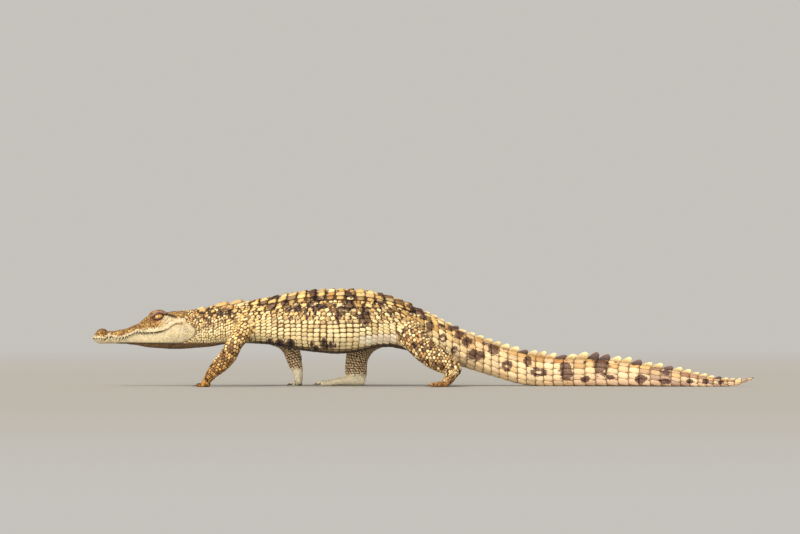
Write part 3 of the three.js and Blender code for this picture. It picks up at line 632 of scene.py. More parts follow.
def bent_line(centres, share):
    """Points and directions of a smooth line through the centres."""
    centres = np.array(centres, float)
    knots = np.vstack([2 * centres[0] - centres[1], centres, 2 * centres[-1] - centres[-2]])
    where = share * (len(centres) - 1)
    i = np.clip(where.astype(int), 0, len(centres) - 2)
    w = (where - i)[:, None]
    before, start, end, after = (knots[i + k] for k in range(4))
    d0, d1, d2 = root_length(before, start), root_length(start, end), root_length(end, after)
    leave = d1 * ((start - before) / d0 - (end - before) / (d0 + d1) + (end - start) / d1)
    arrive = d1 * ((end - start) / d1 - (after - start) / (d1 + d2) + (after - end) / d2)
    square = -3 * start + 3 * end - 2 * leave - arrive
    cube = 2 * start - 2 * end + leave + arrive
    points = start + leave * w + square * w ** 2 + cube * w ** 3
    onwards = leave + 2 * square * w + 3 * cube * w ** 2
    return points, unit(onwards)


def rounded_end(share, ends):
    """1 along a tube, and down in a quarter circle over its last part."""
    return np.sqrt(np.clip(1 - ((share - (1 - ends)) / ends).clip(0, 1) ** 2, 0.02, 1))


def limb_rings(sections, rows, columns, ends=0.0):
    sections = np.array(sections, float)
    share = np.linspace(0, 1, rows)
    points, onwards = bent_line(sections[:, :3], share)
    side = unit(np.array([0, 1, 0]) - onwards * onwards[:, 1:2])
    front = np.cross(side, onwards)
    knots = np.linspace(0, 1, len(sections))
    width, depth = (along(np.stack([knots, sections[:, k]], 1), share) for k in (3, 4))
    full = rounded_end(share, ends) if ends else 1
    turn = np.linspace(0, 2 * math.pi, columns, endpoint=False)
    across = (width * full)[:, None] * np.sin(turn)
    deep = (depth * full)[:, None] * np.cos(turn)
    return points[:, None] - side[:, None] * across[..., None] - front[:, None] * deep[..., None]


for leg in LEGS.values():
    leg["rings"] = limb_rings(leg["leg"], LEG_ROWS, LEG_COLUMNS)
    leg["palm_rings"] = limb_rings(leg["palm"], PALM_ROWS, PALM_COLUMNS, ends=0.12)
print("leg rings", LEG_ROWS, "palm rings", PALM_ROWS)


# %% Toes
def toe_line(leg, way, toe):
    place, degrees, length = toe
    heading = math.radians(way * degrees)
    root = np.array([leg["ball"][0], leg["ball"][1] + way * place * leg["broad"], 0])
    ahead = np.array([-math.cos(heading), math.sin(heading), 0])
    return root, ahead, length


def toe_sections(leg, way, toe):
    root, ahead, length = toe_line(leg, way, toe)
    radius = leg["toe"]
    plan = [(-8, 1.2, 1), (0, 1.1, 1.6), (0.24 * length, 0.95, 1.2), (0.42 * length, 1.06, 0.7),
            (0.62 * length, 0.9, 0.3), (0.8 * length, 0.98, 0), (length + 0.6, 0.72, 0)]
    made = []
    for reach, share, lift in plan:
        centre = root + ahead * reach
        made.append([centre[0], centre[1], share * radius - FLAT + lift, share * radius, share * radius])
    return made


for name, leg in LEGS.items():
    leg["toe_rings"] = [limb_rings(toe_sections(leg, way_of(name), toe), TOE_ROWS, TOE_COLUMNS, ends=0.12)
                        for toe in leg["toes"]]
print("toes", sum(len(leg["toes"]) for leg in LEGS.values()))

# %% [markdown]
# ## One seamless skin
# Each ringed form becomes a closed mesh: a flat grid is bent round the rings, sewn along its seam and capped.
# A Boolean union joins trunk, legs and toes into one surface, and the creases where they meet are then
# relaxed, as flesh runs from one form into the next without an edge.


# %% Closed tubes from rings
def tube(name, rings):
    rows, columns = rings.shape[:2]
    bm = bmesh.new()
    bmesh.ops.create_grid(bm, x_segments=columns, y_segments=rows - 1, size=1)
    places = to_scene(rings)
    for vert in bm.verts:
        column = round((vert.co.x + 1) / 2 * columns) % columns
        row = round((vert.co.y + 1) / 2 * (rows - 1))
        vert.co = places[row, column]
    bmesh.ops.remove_doubles(bm, verts=bm.verts, dist=1e-7)
    rims = [edge for edge in bm.edges if edge.is_boundary]
    caps = bmesh.ops.holes_fill(bm, edges=rims, sides=0)["faces"]
    bmesh.ops.poke(bm, faces=caps)
    bmesh.ops.recalc_face_normals(bm, faces=bm.faces)
    return mesh_object(name, bm)


WEB_REACH, WEB_HEIGHT, WEB_THICKNESS = 0.84, 1.9, 1.7


def web_sheet(leg, way, k):
    """The skin between two hind toes, a thin wedge with a hollowed front edge."""
    lines = [toe_line(leg, way, toe) for toe in leg["toes"][k:k + 2]]
    fork = (lines[0][0] + lines[1][0]) / 2 + [6, 0, 0]
    tips = [fork + (root + ahead * length - fork) * WEB_REACH for root, ahead, length in lines]
    edge = []
    for t in np.linspace(0, 1, 9):
        hollow = 1 - 0.26 * math.sin(math.pi * t)
        edge.append(fork + (tips[0] * (1 - t) + tips[1] * t - fork) * hollow)
    bm = bmesh.new()
    low = [bm.verts.new(to_scene(p + [0, 0, WEB_HEIGHT])) for p in [fork, *edge]]
    face = bm.faces.new(low)
    raised = bmesh.ops.extrude_face_region(bm, geom=[face])["geom"]
    raised = [part for part in raised if isinstance(part, bmesh.types.BMVert)]
    bmesh.ops.translate(bm, verts=raised, vec=(0, 0, WEB_THICKNESS * MM))
    bmesh.ops.recalc_face_normals(bm, faces=bm.faces)
    return mesh_object("web", bm)


skin = tube("body_skin", RINGS)
limbs = []
for name, leg in LEGS.items():
    limbs += [tube(name + "_flesh", leg["rings"]), tube(name + "_palm", leg["palm_rings"])]
    limbs += [tube(name + "_toe", rings) for rings in leg["toe_rings"]]
    if leg["webbed"]:
        limbs += [web_sheet(leg, way_of(name), k) for k in range(len(leg["toes"]) - 1)]
print("skin", len(skin.data.polygons), "faces and", len(limbs), "pieces of legs and feet")


# %% Join them
def apply_modifiers(piece):
    scene_now = bpy.context.evaluated_depsgraph_get()
    mesh = bpy.data.meshes.new_from_object(piece.evaluated_get(scene_now))
    piece.modifiers.clear()
    old = piece.data
    piece.data = mesh
    bpy.data.meshes.remove(old)


def vertex_array(mesh):
    flat = np.empty(len(mesh.vertices) * 3, np.float32)
    mesh.vertices.foreach_get("co", flat)
    return flat.reshape(-1, 3).astype(float)


def remove_piece(piece):
    mesh = piece.data
    bpy.data.objects.remove(piece)
    bpy.data.meshes.remove(mesh)


def unite(base, others):
    for other in others:
        join = base.modifiers.new("join", "BOOLEAN")
        join.operation = "UNION"
        join.solver = "MANIFOLD"
        join.object = other
        apply_modifiers(base)
        remove_piece(other)


before = np.concatenate([vertex_array(o.data) for o in [skin, *limbs]])
unite(skin, limbs)
skin.data.name = "body_skin"
print("united skin", len(skin.data.vertices), "vertices,", len(skin.data.polygons), "faces")


# %% [markdown]
# Where two forms meet, the union leaves a sharp valley that flesh doesn't have. Only the points near such a
# valley are drawn towards the middle of their neighbours, so the rest of the skin keeps its exact shape.

# %% Relax the creases
HIP_CREASE, TOE_CREASE = 15.0, 2.6  # reach of the smoothing in millimetres
FOOT_HEIGHT = 0.05  # metres below which the creases are those of the toes
SMOOTHING_ROUNDS, SMOOTHING_STEP = 26, 0.6


def point_tree(points):
    tree = KDTree(len(points))
    for i, point in enumerate(points):
        tree.insert(point, i)
    tree.balance()
    return tree


def crease_weights(points, before):
    """1 on the points that the union has made, falling to 0 at the reach of the smoothing."""
    known = point_tree(before)
    crease = [p for p in points if known.find(p)[2] > 2e-6]
    tree = point_tree(crease)
    weights = np.zeros(len(points))
    for i, point in enumerate(points):
        reach = (TOE_CREASE if point[2] < FOOT_HEIGHT else HIP_CREASE) * MM
        distance = tree.find(point)[2]
        if distance < reach:
            weights[i] = float(smooth(1 - distance / reach))
    print("crease vertices", len(crease))
    return weights


def relax(mesh, weights, rounds):
    points = vertex_array(mesh)
    edges = np.empty(len(mesh.edges) * 2, np.int32)
    mesh.edges.foreach_get("vertices", edges)
    ends = edges.reshape(-1, 2)
    count = np.maximum(np.bincount(edges, minlength=len(points)), 1)
    for _ in range(rounds):
        total = np.zeros_like(points)
        np.add.at(total, ends[:, 0], points[ends[:, 1]])
        np.add.at(total, ends[:, 1], points[ends[:, 0]])
        points += (total / count[:, None] - points) * SMOOTHING_STEP * weights[:, None]
    points[:, 2] = np.maximum(points[:, 2], 0)
    mesh.vertices.foreach_set("co", points.ravel())
    mesh.update()


relax(skin.data, crease_weights(vertex_array(skin.data), before), SMOOTHING_ROUNDS)
skin.data.shade_smooth()
SKIN_TREE = BVHTree.FromObject(skin, bpy.context.evaluated_depsgraph_get())
print("skin reaches", [round(v, 3) for v in skin.bound_box[6]])

# %% [markdown]
# ## How the scales are set
# Every scale is the same small mound: a ring sunk into the skin, a shoulder, a top and a crown. Arrays of
# places and sizes stretch it into beads, ovals, plates or keeled scutes, and the chart bends each one over
# the body. So thousands of scales become one joined mesh, which is lighter than thousands of objects.


# %% The mound
CORNER_TURN = 45  # a corner of each square scale falls on a corner of its ring


def plain_lists(bm):
    """A small form's corners and faces, to be repeated many times in one mesh."""
    bm.verts.index_update()
    places = np.array([vert.co[:] for vert in bm.verts])
    faces = [[vert.index for vert in face.verts] for face in bm.faces]
    bm.free()
    return places, faces


def scale_template(sides, profile):
    """Directions, radii, ring numbers and faces of a mound. A profile row is radius, height and shade."""
    bm = bmesh.new()
    bmesh.ops.create_circle(bm, cap_ends=True, segments=sides, radius=1)
    turn = Matrix.Rotation(math.radians(CORNER_TURN), 3, "Z")
    bmesh.ops.rotate(bm, verts=bm.verts, cent=(0, 0, 0), matrix=turn)
    bm.faces.ensure_lookup_table()
    top = bm.faces[0]
    for ring in range(1, len(profile) - 1):
        bmesh.ops.inset_individual(bm, faces=[top], thickness=0.01)
        for vert in top.verts:
            vert.co = (*(vert.co.xy.normalized() * profile[ring][0]), ring)
    crown = bmesh.ops.poke(bm, faces=[top])["verts"][0]
    crown.co = (0, 0, len(profile) - 1)
    bmesh.ops.holes_fill(bm, edges=[edge for edge in bm.edges if edge.is_boundary], sides=0)
    bmesh.ops.recalc_face_normals(bm, faces=bm.faces)
    places, faces = plain_lists(bm)
    radius = np.hypot(*places[:, :2].T)
    way = places[:, :2] / np.maximum(radius, 1e-9)[:, None]
    return {"way": way, "radius": radius, "ring": places[:, 2].round().astype(int), "faces": faces,
            "profile": np.array(profile)}


# Last column: dark rim and painted shade in the groove at the root, a painted highlight above 1 at the crown.
SMALL = scale_template(12, [(1.0, -0.9, 0.08), (0.96, 0.3, 0.4), (0.8, 0.82, 0.93), (0.42, 0.97, 1.07),
                            (0, 1.0, 1.12)])
PLATE = scale_template(12, [(1.0, -0.9, 0.1), (0.985, 0.3, 0.42), (0.92, 0.86, 0.97), (0.5, 0.98, 1.04),
                            (0, 1.0, 1.06)])
LARGE = scale_template(16, [(1.0, -0.6, 0.05), (0.98, 0.28, 0.28), (0.89, 0.8, 0.87), (0.5, 0.96, 1.05),
                            (0, 1.0, 1.14)])
print("faces of a small scale", len(SMALL["faces"]), "and of a large one", len(LARGE["faces"]))

# %% [markdown]
# ## The pattern
# A young crocodile is straw-coloured with dark bars over the back and tail and dark blots low on the side.
# The marks are fields that rise above zero inside a mark, so that skin and scales can read the same ones, and
# seeded noise makes their edges ragged. Colours run from the back to the belly by their share of the girth,
# and painted shade darkens the lower side, the underside between the legs and the throat.

# %% Colours and places of the marks
CREAM, STRAW, OCHRE = linear(247, 226, 174), linear(226, 190, 120), linear(178, 128, 66)
UMBER, BARK, PLUM = linear(102, 66, 32), linear(58, 36, 20), linear(88, 58, 46)
GOLD, IVORY, GROOVE = linear(222, 176, 92), linear(255, 243, 212), linear(84, 50, 25)
PINK, PEARL, MAUVE = linear(226, 190, 160), linear(255, 235, 208), linear(148, 116, 110)
PLAIN, PALE_MIDDLE, BLACK = 0, 1, 2
# Dark blots on the side: station, height, half length, half height.
BLOTS = {
    PLAIN: [(901, 88, 11, 16), (978, 55, 8, 10), (1064, 33, 14, 19), (1106, 16, 9, 7), (1141, 48, 14, 22),
            (1162, 20, 10, 5), (1230, 17, 12, 9), (1284, 11, 11, 6), (1287, 32, 7, 8), (1340, 12, 9, 5),
            (1375, 12, 7, 5), (1410, 10, 6, 4), (862, 70, 19, 11), (808, 134, 10, 9), (824, 117, 10, 9),
            (841, 100, 10, 9), (758, 137, 8, 11), (742, 156, 7, 6), (432, 187, 9, 7), (461, 176, 9, 8),
            (508, 179, 16, 6), (577, 183, 12, 12), (552, 160, 8, 9), (612, 158, 11, 21), (356, 107, 3, 4),
            (381, 97, 4, 3)],
    PALE_MIDDLE: [(931, 46, 11, 11), (1002, 31, 17, 9), (787, 108, 9, 9), (813, 81, 8, 7), (300, 168, 12, 8)],
    # The darkest group lies low on the flank along the belly's edge, from behind the foreleg to mid-trunk.
    BLACK: [(399, 103, 4, 6), (421, 97, 9, 8), (446, 97, 9, 9), (493, 95, 3, 8), (503, 86, 6, 5),
            (520, 97, 5, 12), (527, 90, 4, 6), (536, 94, 3.4, 8), (546, 92, 2.6, 5)],
}
# Dark bars across the back and the crest, from station to station.
BARS = [(356, 372), (399, 421), (481, 511), (566, 590), (630, 657), (694, 742), (803, 819), (899, 913),
        (957, 980), (1043, 1067), (1113, 1161), (1209, 1232), (1281, 1301), (1342, 1360), (1376, 1400)]
print("bars", len(BARS), "blots", {kind: len(rows) for kind, rows in BLOTS.items()})


# %% Noise and mixing
def drift(points, size, seed=0.0):
    """Smooth seeded noise from -1 to 1 at points in millimetres."""
    return np.array([noise.noise((p[0] / size + seed, p[1] / size, p[2] / size)) for p in points])


def scatter(points, seed=0.0):
    """A fixed random number from 0 to 1 for each point."""
    value = np.sin(points @ np.array([12.9898, 78.233, 37.719]) + seed) * 43758.5453
    return value - np.floor(value)


def mix(a, b, share):
    return a + (b - a) * np.asarray(share)[..., None]


print("colour between cream and umber", mix(CREAM, UMBER, 0.5).round(3))


# %% Fields of the marks
FAR_SIDE_SHIFT = 17  # the right side's blots lie this much further forward
HIPS, TAIL_ROOT = 720, 860


def tail_share(x):
    """0 on the trunk and 1 on the tail."""
    return smooth(x, HIPS, TAIL_ROOT)


def blot_field(points):
    """Above 0 inside a blot and below 0 outside, growing with the distance from its edge."""
    x = points[:, 0] + np.where(points[:, 1] > along(SWAY, points[:, 0]), FAR_SIDE_SHIFT, 0)
    field = np.full(len(points), -1.0)
    for kind, rows in BLOTS.items():
        for at_x, at_z, half_x, half_z in rows:
            away = np.hypot((x - at_x) / half_x, (points[:, 2] - at_z) / half_z)
            inside = 1.22 - away
            if kind == PALE_MIDDLE:
                inside = np.minimum(inside, 1.8 * (away - 0.3))
            if kind == BLACK:
                inside = 2.4 * inside
            field = np.maximum(field, inside)
    return field + 0.45 * drift(points, 8, 41.0) + 0.25 * drift(points, 4, 43.0)


def bar_field(x, share, points):
    """The same for the bars across the back, which end where the side begins."""
    wander = 8 * drift(points, 34, 2.0) * smooth(points[:, 1] - along(SWAY, points[:, 0]), -45, 10)
    wander = wander + 16 * drift(points, 26, 5.0) * smooth(share, 0.05, 0.2)
    bar = np.max([np.minimum(x + wander - a, b - x - wander) for a, b in BARS], 0) / 8
    ridge = (0.36 - 0.2 * tail_share(x) - share) / 0.07
    return np.clip(np.minimum(bar, ridge), -1, 1) - 1.2 * smooth(drift(points, 17, 12.0), 0.0, 0.26)


def trunk_mark(x, s, points):
    """Dark where above 0: bars on the back, blots on the side and small patches high on the flank."""
    share = np.abs(s) / half_girth(x)
    tail = tail_share(x)
    high = 1 - smooth(share, 0.44 - 0.2 * tail, 0.6 - 0.22 * tail)
    patch = 2.4 * (drift(points, 13, 21.0) - 0.34) * (1 - 0.6 * tail)
    loose = np.where(x > 225, np.minimum(patch, 2 * high - 1), -1)
    return np.max([blot_field(points), bar_field(x, share, points), loose], 0)


print("mark in the middle of a bar", bar_field(np.array([575.0]), np.zeros(1), np.array([[575.0, 0, 213]])))


# %% Colour of the trunk
def groin_band(x, z):
    """1 on the clean pale strip in front of the thigh."""
    return hill(z - 0.07 * (x - 615), 103.5, 9.5, 6) * smooth(x, 588, 606) * (1 - smooth(x, 684, 700))


def flank_tone(x, share, points):
    """Straw and ochre on the back, cream on the side, and single brown scales between them."""
    speck, patch, pick = drift(points, 9, 1.0), drift(points, 42, 9.0), scatter(points)
    tail = tail_share(x)
    low = smooth(share + 0.05 * patch, 0.36 - 0.12 * tail, 0.6 - 0.2 * tail)
    back = mix(STRAW, OCHRE, np.clip(0.35 + 0.8 * patch + 0.7 * speck, 0, 1))
    back = mix(back, CREAM, np.clip((scatter(points, 8.0) - 0.5) * 3, 0, 0.7))
    side = mix(CREAM, STRAW, np.clip(0.15 + 0.9 * speck, 0, 1))
    dusky = np.clip((pick - 0.66 + 0.12 * (1 - smooth(x, 300, 360))) * 5, 0, 1) * (1 - 0.8 * low) * 0.85
    return mix(back * (1 - low[:, None]) + side * low[:, None], UMBER, dusky * (1 - 0.7 * tail))


def trunk_tone(x, share, points):
    """The colour of the trunk and tail: share runs from 0 on the back's midline to 1 under the belly."""
    z, belly, tail = points[:, 2], along(BELLY, x), tail_share(x)
    band = groin_band(x, z)
    neck = 1 - smooth(x, 320, 400)
    mauve = smooth(x, 1150, 1290) * smooth(drift(points, 10, 51.0), -0.12, 0.25)
    # Painted shade: the lowest band of the side, turned away from the light, is mixed towards umber.
    painted_low_shade = smooth(share, 0.73 + 0.1 * neck, 0.88 + 0.05 * neck)
    # Painted shade: under is the strip below the belly between the legs, and throat the same under the neck.
    under = smooth(belly + 9 - z, 0, 3) * smooth(x, 330, 380) * (1 - smooth(x, 690, 760))
    throat = smooth(belly + 3 + 9 * (1 - smooth(x, 210, 330)) - z, -2.5, 1.5)
    tone = flank_tone(x, share, points)
    for colour, amount in ((PINK, 0.45 * tail * smooth(x, 960, 1120) * smooth(share, 0.35, 0.7)),
                           (PEARL, 0.95 * band),
                           (MAUVE, 0.62 * mauve),
                           (UMBER, 0.85 * painted_low_shade * (1 - tail) * (1 - band)),
                           (BARK, 0.9 * under * (1 - 0.9 * band)),
                           (UMBER, 0.9 * throat * (1 - smooth(x, 330, 360)))):
        tone = mix(tone, colour, amount)
    tone = tone * mix(np.ones(3), np.array([0.9, 0.82, 0.86]), tail)
    return tone * (0.84 + 0.28 * scatter(points, 4.0) + 0.1 * band)[:, None]


flank = np.array([[500.0, -80, 140]])
print("colour on the flank", trunk_tone(flank[:, 0], np.array([0.5]), flank).round(3))

# %% Lists of scales
PATCH = 0.0015  # half the side of a scale's patch on the map for baking
DEFAULTS = {"keel": 0, "square": 2.4, "lift": 0, "turn": 0, "side": 1, "pale_edge": 0, "join": 0}


def spots(**columns):
    """A table of scales, one column for each measure. A single number serves for all of them."""
    count = max(np.size(v) for v in columns.values())
    return {key: np.broadcast_to(np.asarray(value, float), count).copy()
            for key, value in {**DEFAULTS, **columns}.items()}


def together(groups):
    return {key: np.concatenate([group[key] for group in groups]) for key in groups[0]}


def both_sides(**columns):
    return together([spots(side=side, **columns) for side in (-1, 1)])


def chosen(where, keep):
    return {key: value[keep] for key, value in where.items()}


def chance(a, b, c, seed=0.0):
    """A fixed random number from 0 to 1 for each triple of numbers."""
    return scatter(np.stack(np.broadcast_arrays(a, b, c), 1).astype(float), seed)


print("a scale has", len(spots(x=0, s=0, width=1, length=1, height=1)), "measures")


# %% Where the real skin lies
DEEPEST, HIGHEST = 3.5, 5.0  # how far the flesh may lie from the chart before a scale is left out
FEELER = 9.0  # length of the ray that feels for the skin, on each side of the chart
SAME_SKIN = 4.0  # a corner that finds the skin further off than this has met another limb


def seat(points, normals):
    """How far the real skin lies beyond each charted point, along its normal. NaN where it is too far."""
    gap = np.full(len(points), np.nan)
    starts = to_scene(points + normals * FEELER)
    for i in range(len(points)):
        hit = SKIN_TREE.ray_cast(Vector(starts[i]), Vector(-normals[i]), 2 * FEELER * MM)
        if hit[0] is not None:
            gap[i] = FEELER - hit[3] / MM
    return gap


print("skin over the chart at the shoulder", seat(*trunk_at(np.array([343.0]), np.array([60.0]), np.ones(1))))


# %% From lists to one mesh
def paint(mesh, tone, **measures):
    """Stores the colour of each corner, and other measures that the materials read."""
    layer = mesh.color_attributes.new("tone", "FLOAT_COLOR", "POINT")
    rgba = np.concatenate([np.clip(tone, 0.004, 1), np.ones((len(tone), 1))], 1)
    layer.data.foreach_set("color", rgba.astype(np.float32).ravel())
    for name, values in measures.items():
        data = mesh.attributes.new(name, "FLOAT", "POINT").data
        data.foreach_set("value", np.asarray(values, np.float32))


def finish(piece, material):
    piece.data.materials.clear()
    piece.data.materials.append(material)
    piece.data.shade_smooth()
    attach(piece, "root")
    print(piece.name, len(piece.data.polygons), "faces")
    return piece


def joined_mesh(name, place, loops, sizes, tone, mark, uv, material):
    mesh = bpy.data.meshes.new(name)
    mesh.vertices.add(len(place))
    mesh.vertices.foreach_set("co", to_scene(place).astype(np.float32).ravel())
    mesh.loops.add(len(loops))
    mesh.loops.foreach_set("vertex_index", loops.astype(np.int32))
    mesh.polygons.add(len(sizes))
    mesh.polygons.foreach_set("loop_start", np.concatenate([[0], np.cumsum(sizes)[:-1]]).astype(np.int32))
    mesh.update(calc_edges=True)
    paint(mesh, tone, mark=mark)
    layer = mesh.uv_layers.new(name="OFBake")
    layer.uv.foreach_set("vector", uv[loops].astype(np.float32).ravel())
    return finish(link_object(name, mesh), material)


def repeated_faces(faces, corners, mirrored):
    """The faces of every copy, turned over on the copies that a chart mirrors, so that all point outwards."""
    straight, turned_over = np.concatenate(faces), np.concatenate([face[::-1] for face in faces])
    loops = np.where(mirrored[:, None], turned_over, straight) + np.arange(len(mirrored))[:, None] * corners
    return loops.ravel(), np.tile([len(face) for face in faces], len(mirrored))


print("map patch", PATCH)

# %% Growing the scales
ROOT_DEPTH = 1.3
KEEL_WIDTH = 0.18


def seated_scales(chart, where):
    """The scales that find skin under them, with their roots on the chart and the skin's distance from it."""
    root, out = chart(where["x"], where["s"], where["side"])
    gap = seat(root, out)
    keep = (gap > -DEEPEST) & (gap < HIGHEST) & (root[:, 2] + 3 * out[:, 2] > 0.6)
    return chosen(where, keep), root[keep], out[keep], gap[keep]


def outline(where, template):
    """Each corner's place inside its scale, from -1 to 1 along and across it."""
    power = where["square"][:, None]
    fore, aside = template["way"].T
    square = (np.abs(fore) ** power + np.abs(aside) ** power + 1e-9) ** (-1 / power)
    reach = square * template["radius"]
    return reach * fore, reach * aside


def mound_height(where, template, a, b):
    ring, rise = template["ring"], template["profile"][template["ring"], 1]
    height = rise * np.where(rise < 0, ROOT_DEPTH, where["height"][:, None])
    height = height + (ring > 1) * where["keel"][:, None] * hill(b, 0, KEEL_WIDTH) * (0.75 + 0.5 * a)
    return height + (ring > 0) * where["lift"][:, None] * (a * 0.5 + 0.5)


def grow(name, chart, where, template, looks, material):
    """Bends a mound over the skin for each scale. Looks are the functions for colour, marks and map."""
    tone_of, mark_of, uv_of = looks
    where, root, out, gap = seated_scales(chart, where)
    x, s, side, turn = (where[key][:, None] for key in ("x", "s", "side", "turn"))
    corners = len(template["radius"])
    a, b = outline(where, template)
    fore, aside = a * where["length"][:, None] / 2, b * where["width"][:, None] / 2
    x = (x + (fore * np.cos(turn) - aside * np.sin(turn))).ravel()
    s = (s + (fore * np.sin(turn) + aside * np.cos(turn))).ravel()
    place, normal = chart(x, s, np.repeat(side, corners))
    offset = np.repeat(gap, corners)
    moved = np.abs(offset) > 0.12
    close = seat(place[moved], normal[moved])
    offset[moved] = np.where(np.abs(close - offset[moved]) < SAME_SKIN, close, offset[moved])
    place = place + normal * (mound_height(where, template, a, b).ravel() + offset)[:, None]
    place[:, 2] = np.maximum(place[:, 2], 0.02)
    u, v = (middle[:, None] for middle in uv_of(where, root))
    uv = np.stack([(u + a * PATCH).ravel(), (v + b * PATCH).ravel()], 1)
    join = where["join"][:, None] * smooth(np.abs(b) - np.abs(a), -0.1, 0.2)
    # The profile's shade is painted light: groove shade at each scale's root and a highlight on its crown.
    shade = template["profile"][template["ring"], 2]
    shade = shade + (1 - shade) * np.clip(where["pale_edge"][:, None] + join, 0, 1)
    tone = np.repeat(tone_of(where, root), corners, axis=0) * shade.ravel()[:, None]
    onward, around = (chart(where["x"] + dx, where["s"] + ds, where["side"])[0] - root
                      for dx, ds in ((1, 0), (0, 1)))
    mirrored = (np.cross(onward, around) * out).sum(1) < 0
    loops, sizes = repeated_faces(template["faces"], corners, mirrored)
    return joined_mesh(name, place, loops, sizes, tone, mark_of(x, s, place), uv, material)


print("a mound's root goes", round(ROOT_DEPTH * 0.9, 2), "mm deep")

# %% [markdown]
# ## The hide's finish
# Dry horn is neither shiny nor quite matt. The colour of each scale is painted on its corners. The material
# adds what a brush could not: a fine mottling inside the scale, a rough worn sheen and tiny wrinkles.

# %% Small nodes
def coordinates(tree):
    return add_node(tree, "TexCoord", {}).outputs["Object"]


def cloud(tree, place, scale, detail=3.0, rough=0.55):
    return add_node(tree, "TexNoise", {"Scale": scale, "Detail": detail, "Roughness": rough, "Vector": place})


def remap(tree, source, low, high, to_low=0.0, to_high=1.0):
    values = {"Value": source, "From Min": low, "From Max": high, "To Min": to_low, "To Max": to_high}
    return add_node(tree, "MapRange", values).outputs["Result"]


def calculate(tree, operation, a, b=0.5):
    return add_node(tree, "Math", {0: a, 1: b}, operation=operation).outputs["Value"]


def tinted(tree, factor, colour, other, blend="MULTIPLY"):
    values = {"Factor": factor, "A": colour, "B": other}
    return add_node(tree, "Mix", values, data_type="RGBA", blend_type=blend).outputs["Result"]


def measure(tree, name):
    return add_node(tree, "Attribute", {}, attribute_name=name).outputs["Fac"]


def bumps(tree, height, strength, distance, **settings):
    return add_node(tree, "Bump", {"Height": height, "Strength": strength, "Distance": distance}, **settings)


print("nodes for clouds, steps, tints and bumps")


# %% Marks, cracks and freckles
MARK_TINT, BLACK_TINT = (0.12, 0.066, 0.073, 1), (0.22, 0.2, 0.2, 1)
CELL_TINT, CRACK_TINT = (0.34, 0.24, 0.14, 1), (0.36, 0.24, 0.14, 1)
CRACK_CELLS, FRECKLE_CELLS = 230, 250


def add_marks(tree, place, colour):
    """Dark blots whose ragged edge is the painted field pushed in and out by noise."""
    ragged = cloud(tree, place, 330, 5, 0.7).outputs["Fac"]
    total = calculate(tree, "ADD", measure(tree, "mark"), remap(tree, ragged, 0.25, 0.75, -0.42, 0.42))
    flecks = cloud(tree, place, 700, 3, 0.6).outputs["Fac"]
    amount = calculate(tree, "MULTIPLY", remap(tree, total, 0.0, 0.16), remap(tree, flecks, 0.3, 0.58, 0.75))
    dark = tinted(tree, amount, colour, MARK_TINT)
    return tinted(tree, remap(tree, total, 1.25, 1.6), dark, BLACK_TINT)


def add_cracks(tree, place, colour, bump):
    """Head shields are plates of skin without raised rims, drawn as dark cracks between flat cells."""
    amount = measure(tree, "crack")
    warp = {0: cloud(tree, place, 160, 2).outputs["Color"], 1: (0.004, 0.004, 0.004), 2: place}
    bent = add_node(tree, "VectorMath", warp, operation="MULTIPLY_ADD")
    values = {"Scale": CRACK_CELLS, "Vector": bent.outputs["Vector"]}
    cells = add_node(tree, "TexVoronoi", values, feature="DISTANCE_TO_EDGE")
    shades = add_node(tree, "TexVoronoi", values)
    own = add_node(tree, "SeparateColor", {"Color": shades.outputs["Color"]}).outputs["Red"]
    strength = calculate(tree, "MULTIPLY", remap(tree, own, 0.25, 0.95), amount)
    colour = tinted(tree, strength, colour, CELL_TINT)
    cut = calculate(tree, "MULTIPLY", remap(tree, cells.outputs["Distance"], 0.0, 0.16, 1.0, 0.0), amount)
    step = bumps(tree, cut, 0.8, 0.0009, invert=True)
    put(tree, bump, {"Normal": step.outputs["Normal"]})
    return add_freckles(tree, place, tinted(tree, cut, colour, CRACK_TINT))


def add_freckles(tree, place, colour):
    """Small round dark spots, one in each of the cells that chance picks."""
    cells = add_node(tree, "TexVoronoi", {"Scale": FRECKLE_CELLS, "Vector": place})
    own = add_node(tree, "SeparateColor", {"Color": cells.outputs["Color"]}).outputs["Red"]
    spot = remap(tree, cells.outputs["Distance"], 0.14, 0.34, 1.0, 0.0)
    for extra in (remap(tree, own, 0.35, 0.55, 0.0, 0.9), measure(tree, "dots")):
        spot = calculate(tree, "MULTIPLY", spot, extra)
    return tinted(tree, spot, colour, (*UMBER, 1), "MIX")


print("crack cells", CRACK_CELLS, "to the metre")


# %% Hide material
def hide_material(name, wrinkle, gloss, cracked=False):
    material, tree = new_material(name)
    plain = tree.nodes["Principled BSDF"]
    place = coordinates(tree)
    tone = add_node(tree, "VertexColor", {}, layer_name="tone").outputs["Color"]
    mottle = remap(tree, cloud(tree, place, 420, 4).outputs["Fac"], 0.3, 0.7, 0.78, 1.16)
    fine = cloud(tree, place, 1600, 2).outputs["Fac"]
    grey = add_node(tree, "CombineColor", dict.fromkeys(("Red", "Green", "Blue"), mottle)).outputs["Color"]
    colour = add_marks(tree, place, tinted(tree, 1, tone, grey))
    bump = bumps(tree, fine, wrinkle, 0.0006)
    if cracked:
        colour = add_cracks(tree, place, colour, bump)
    put(tree, plain, {"Base Color": colour, "Normal": bump.outputs["Normal"], "Specular IOR Level": gloss,
                      "Roughness": remap(tree, fine, 0.3, 0.7, 0.42, 0.66)})
    return material


SKIN_FINISH = hide_material("skin_between_scales", 0.5, 0.2, cracked=True)
HORN_FINISH = hide_material("horny_scales", 0.3, 0.36)
print("hide finishes made")

# %% [markdown]
# ## Scutes of the back
# Each plate over the spine has a bony core with a keel, and the rows lie straight across the body like tiles.
# Six lanes run from shoulder to hip, drawing together at both ends, with a smaller lane below on each side.

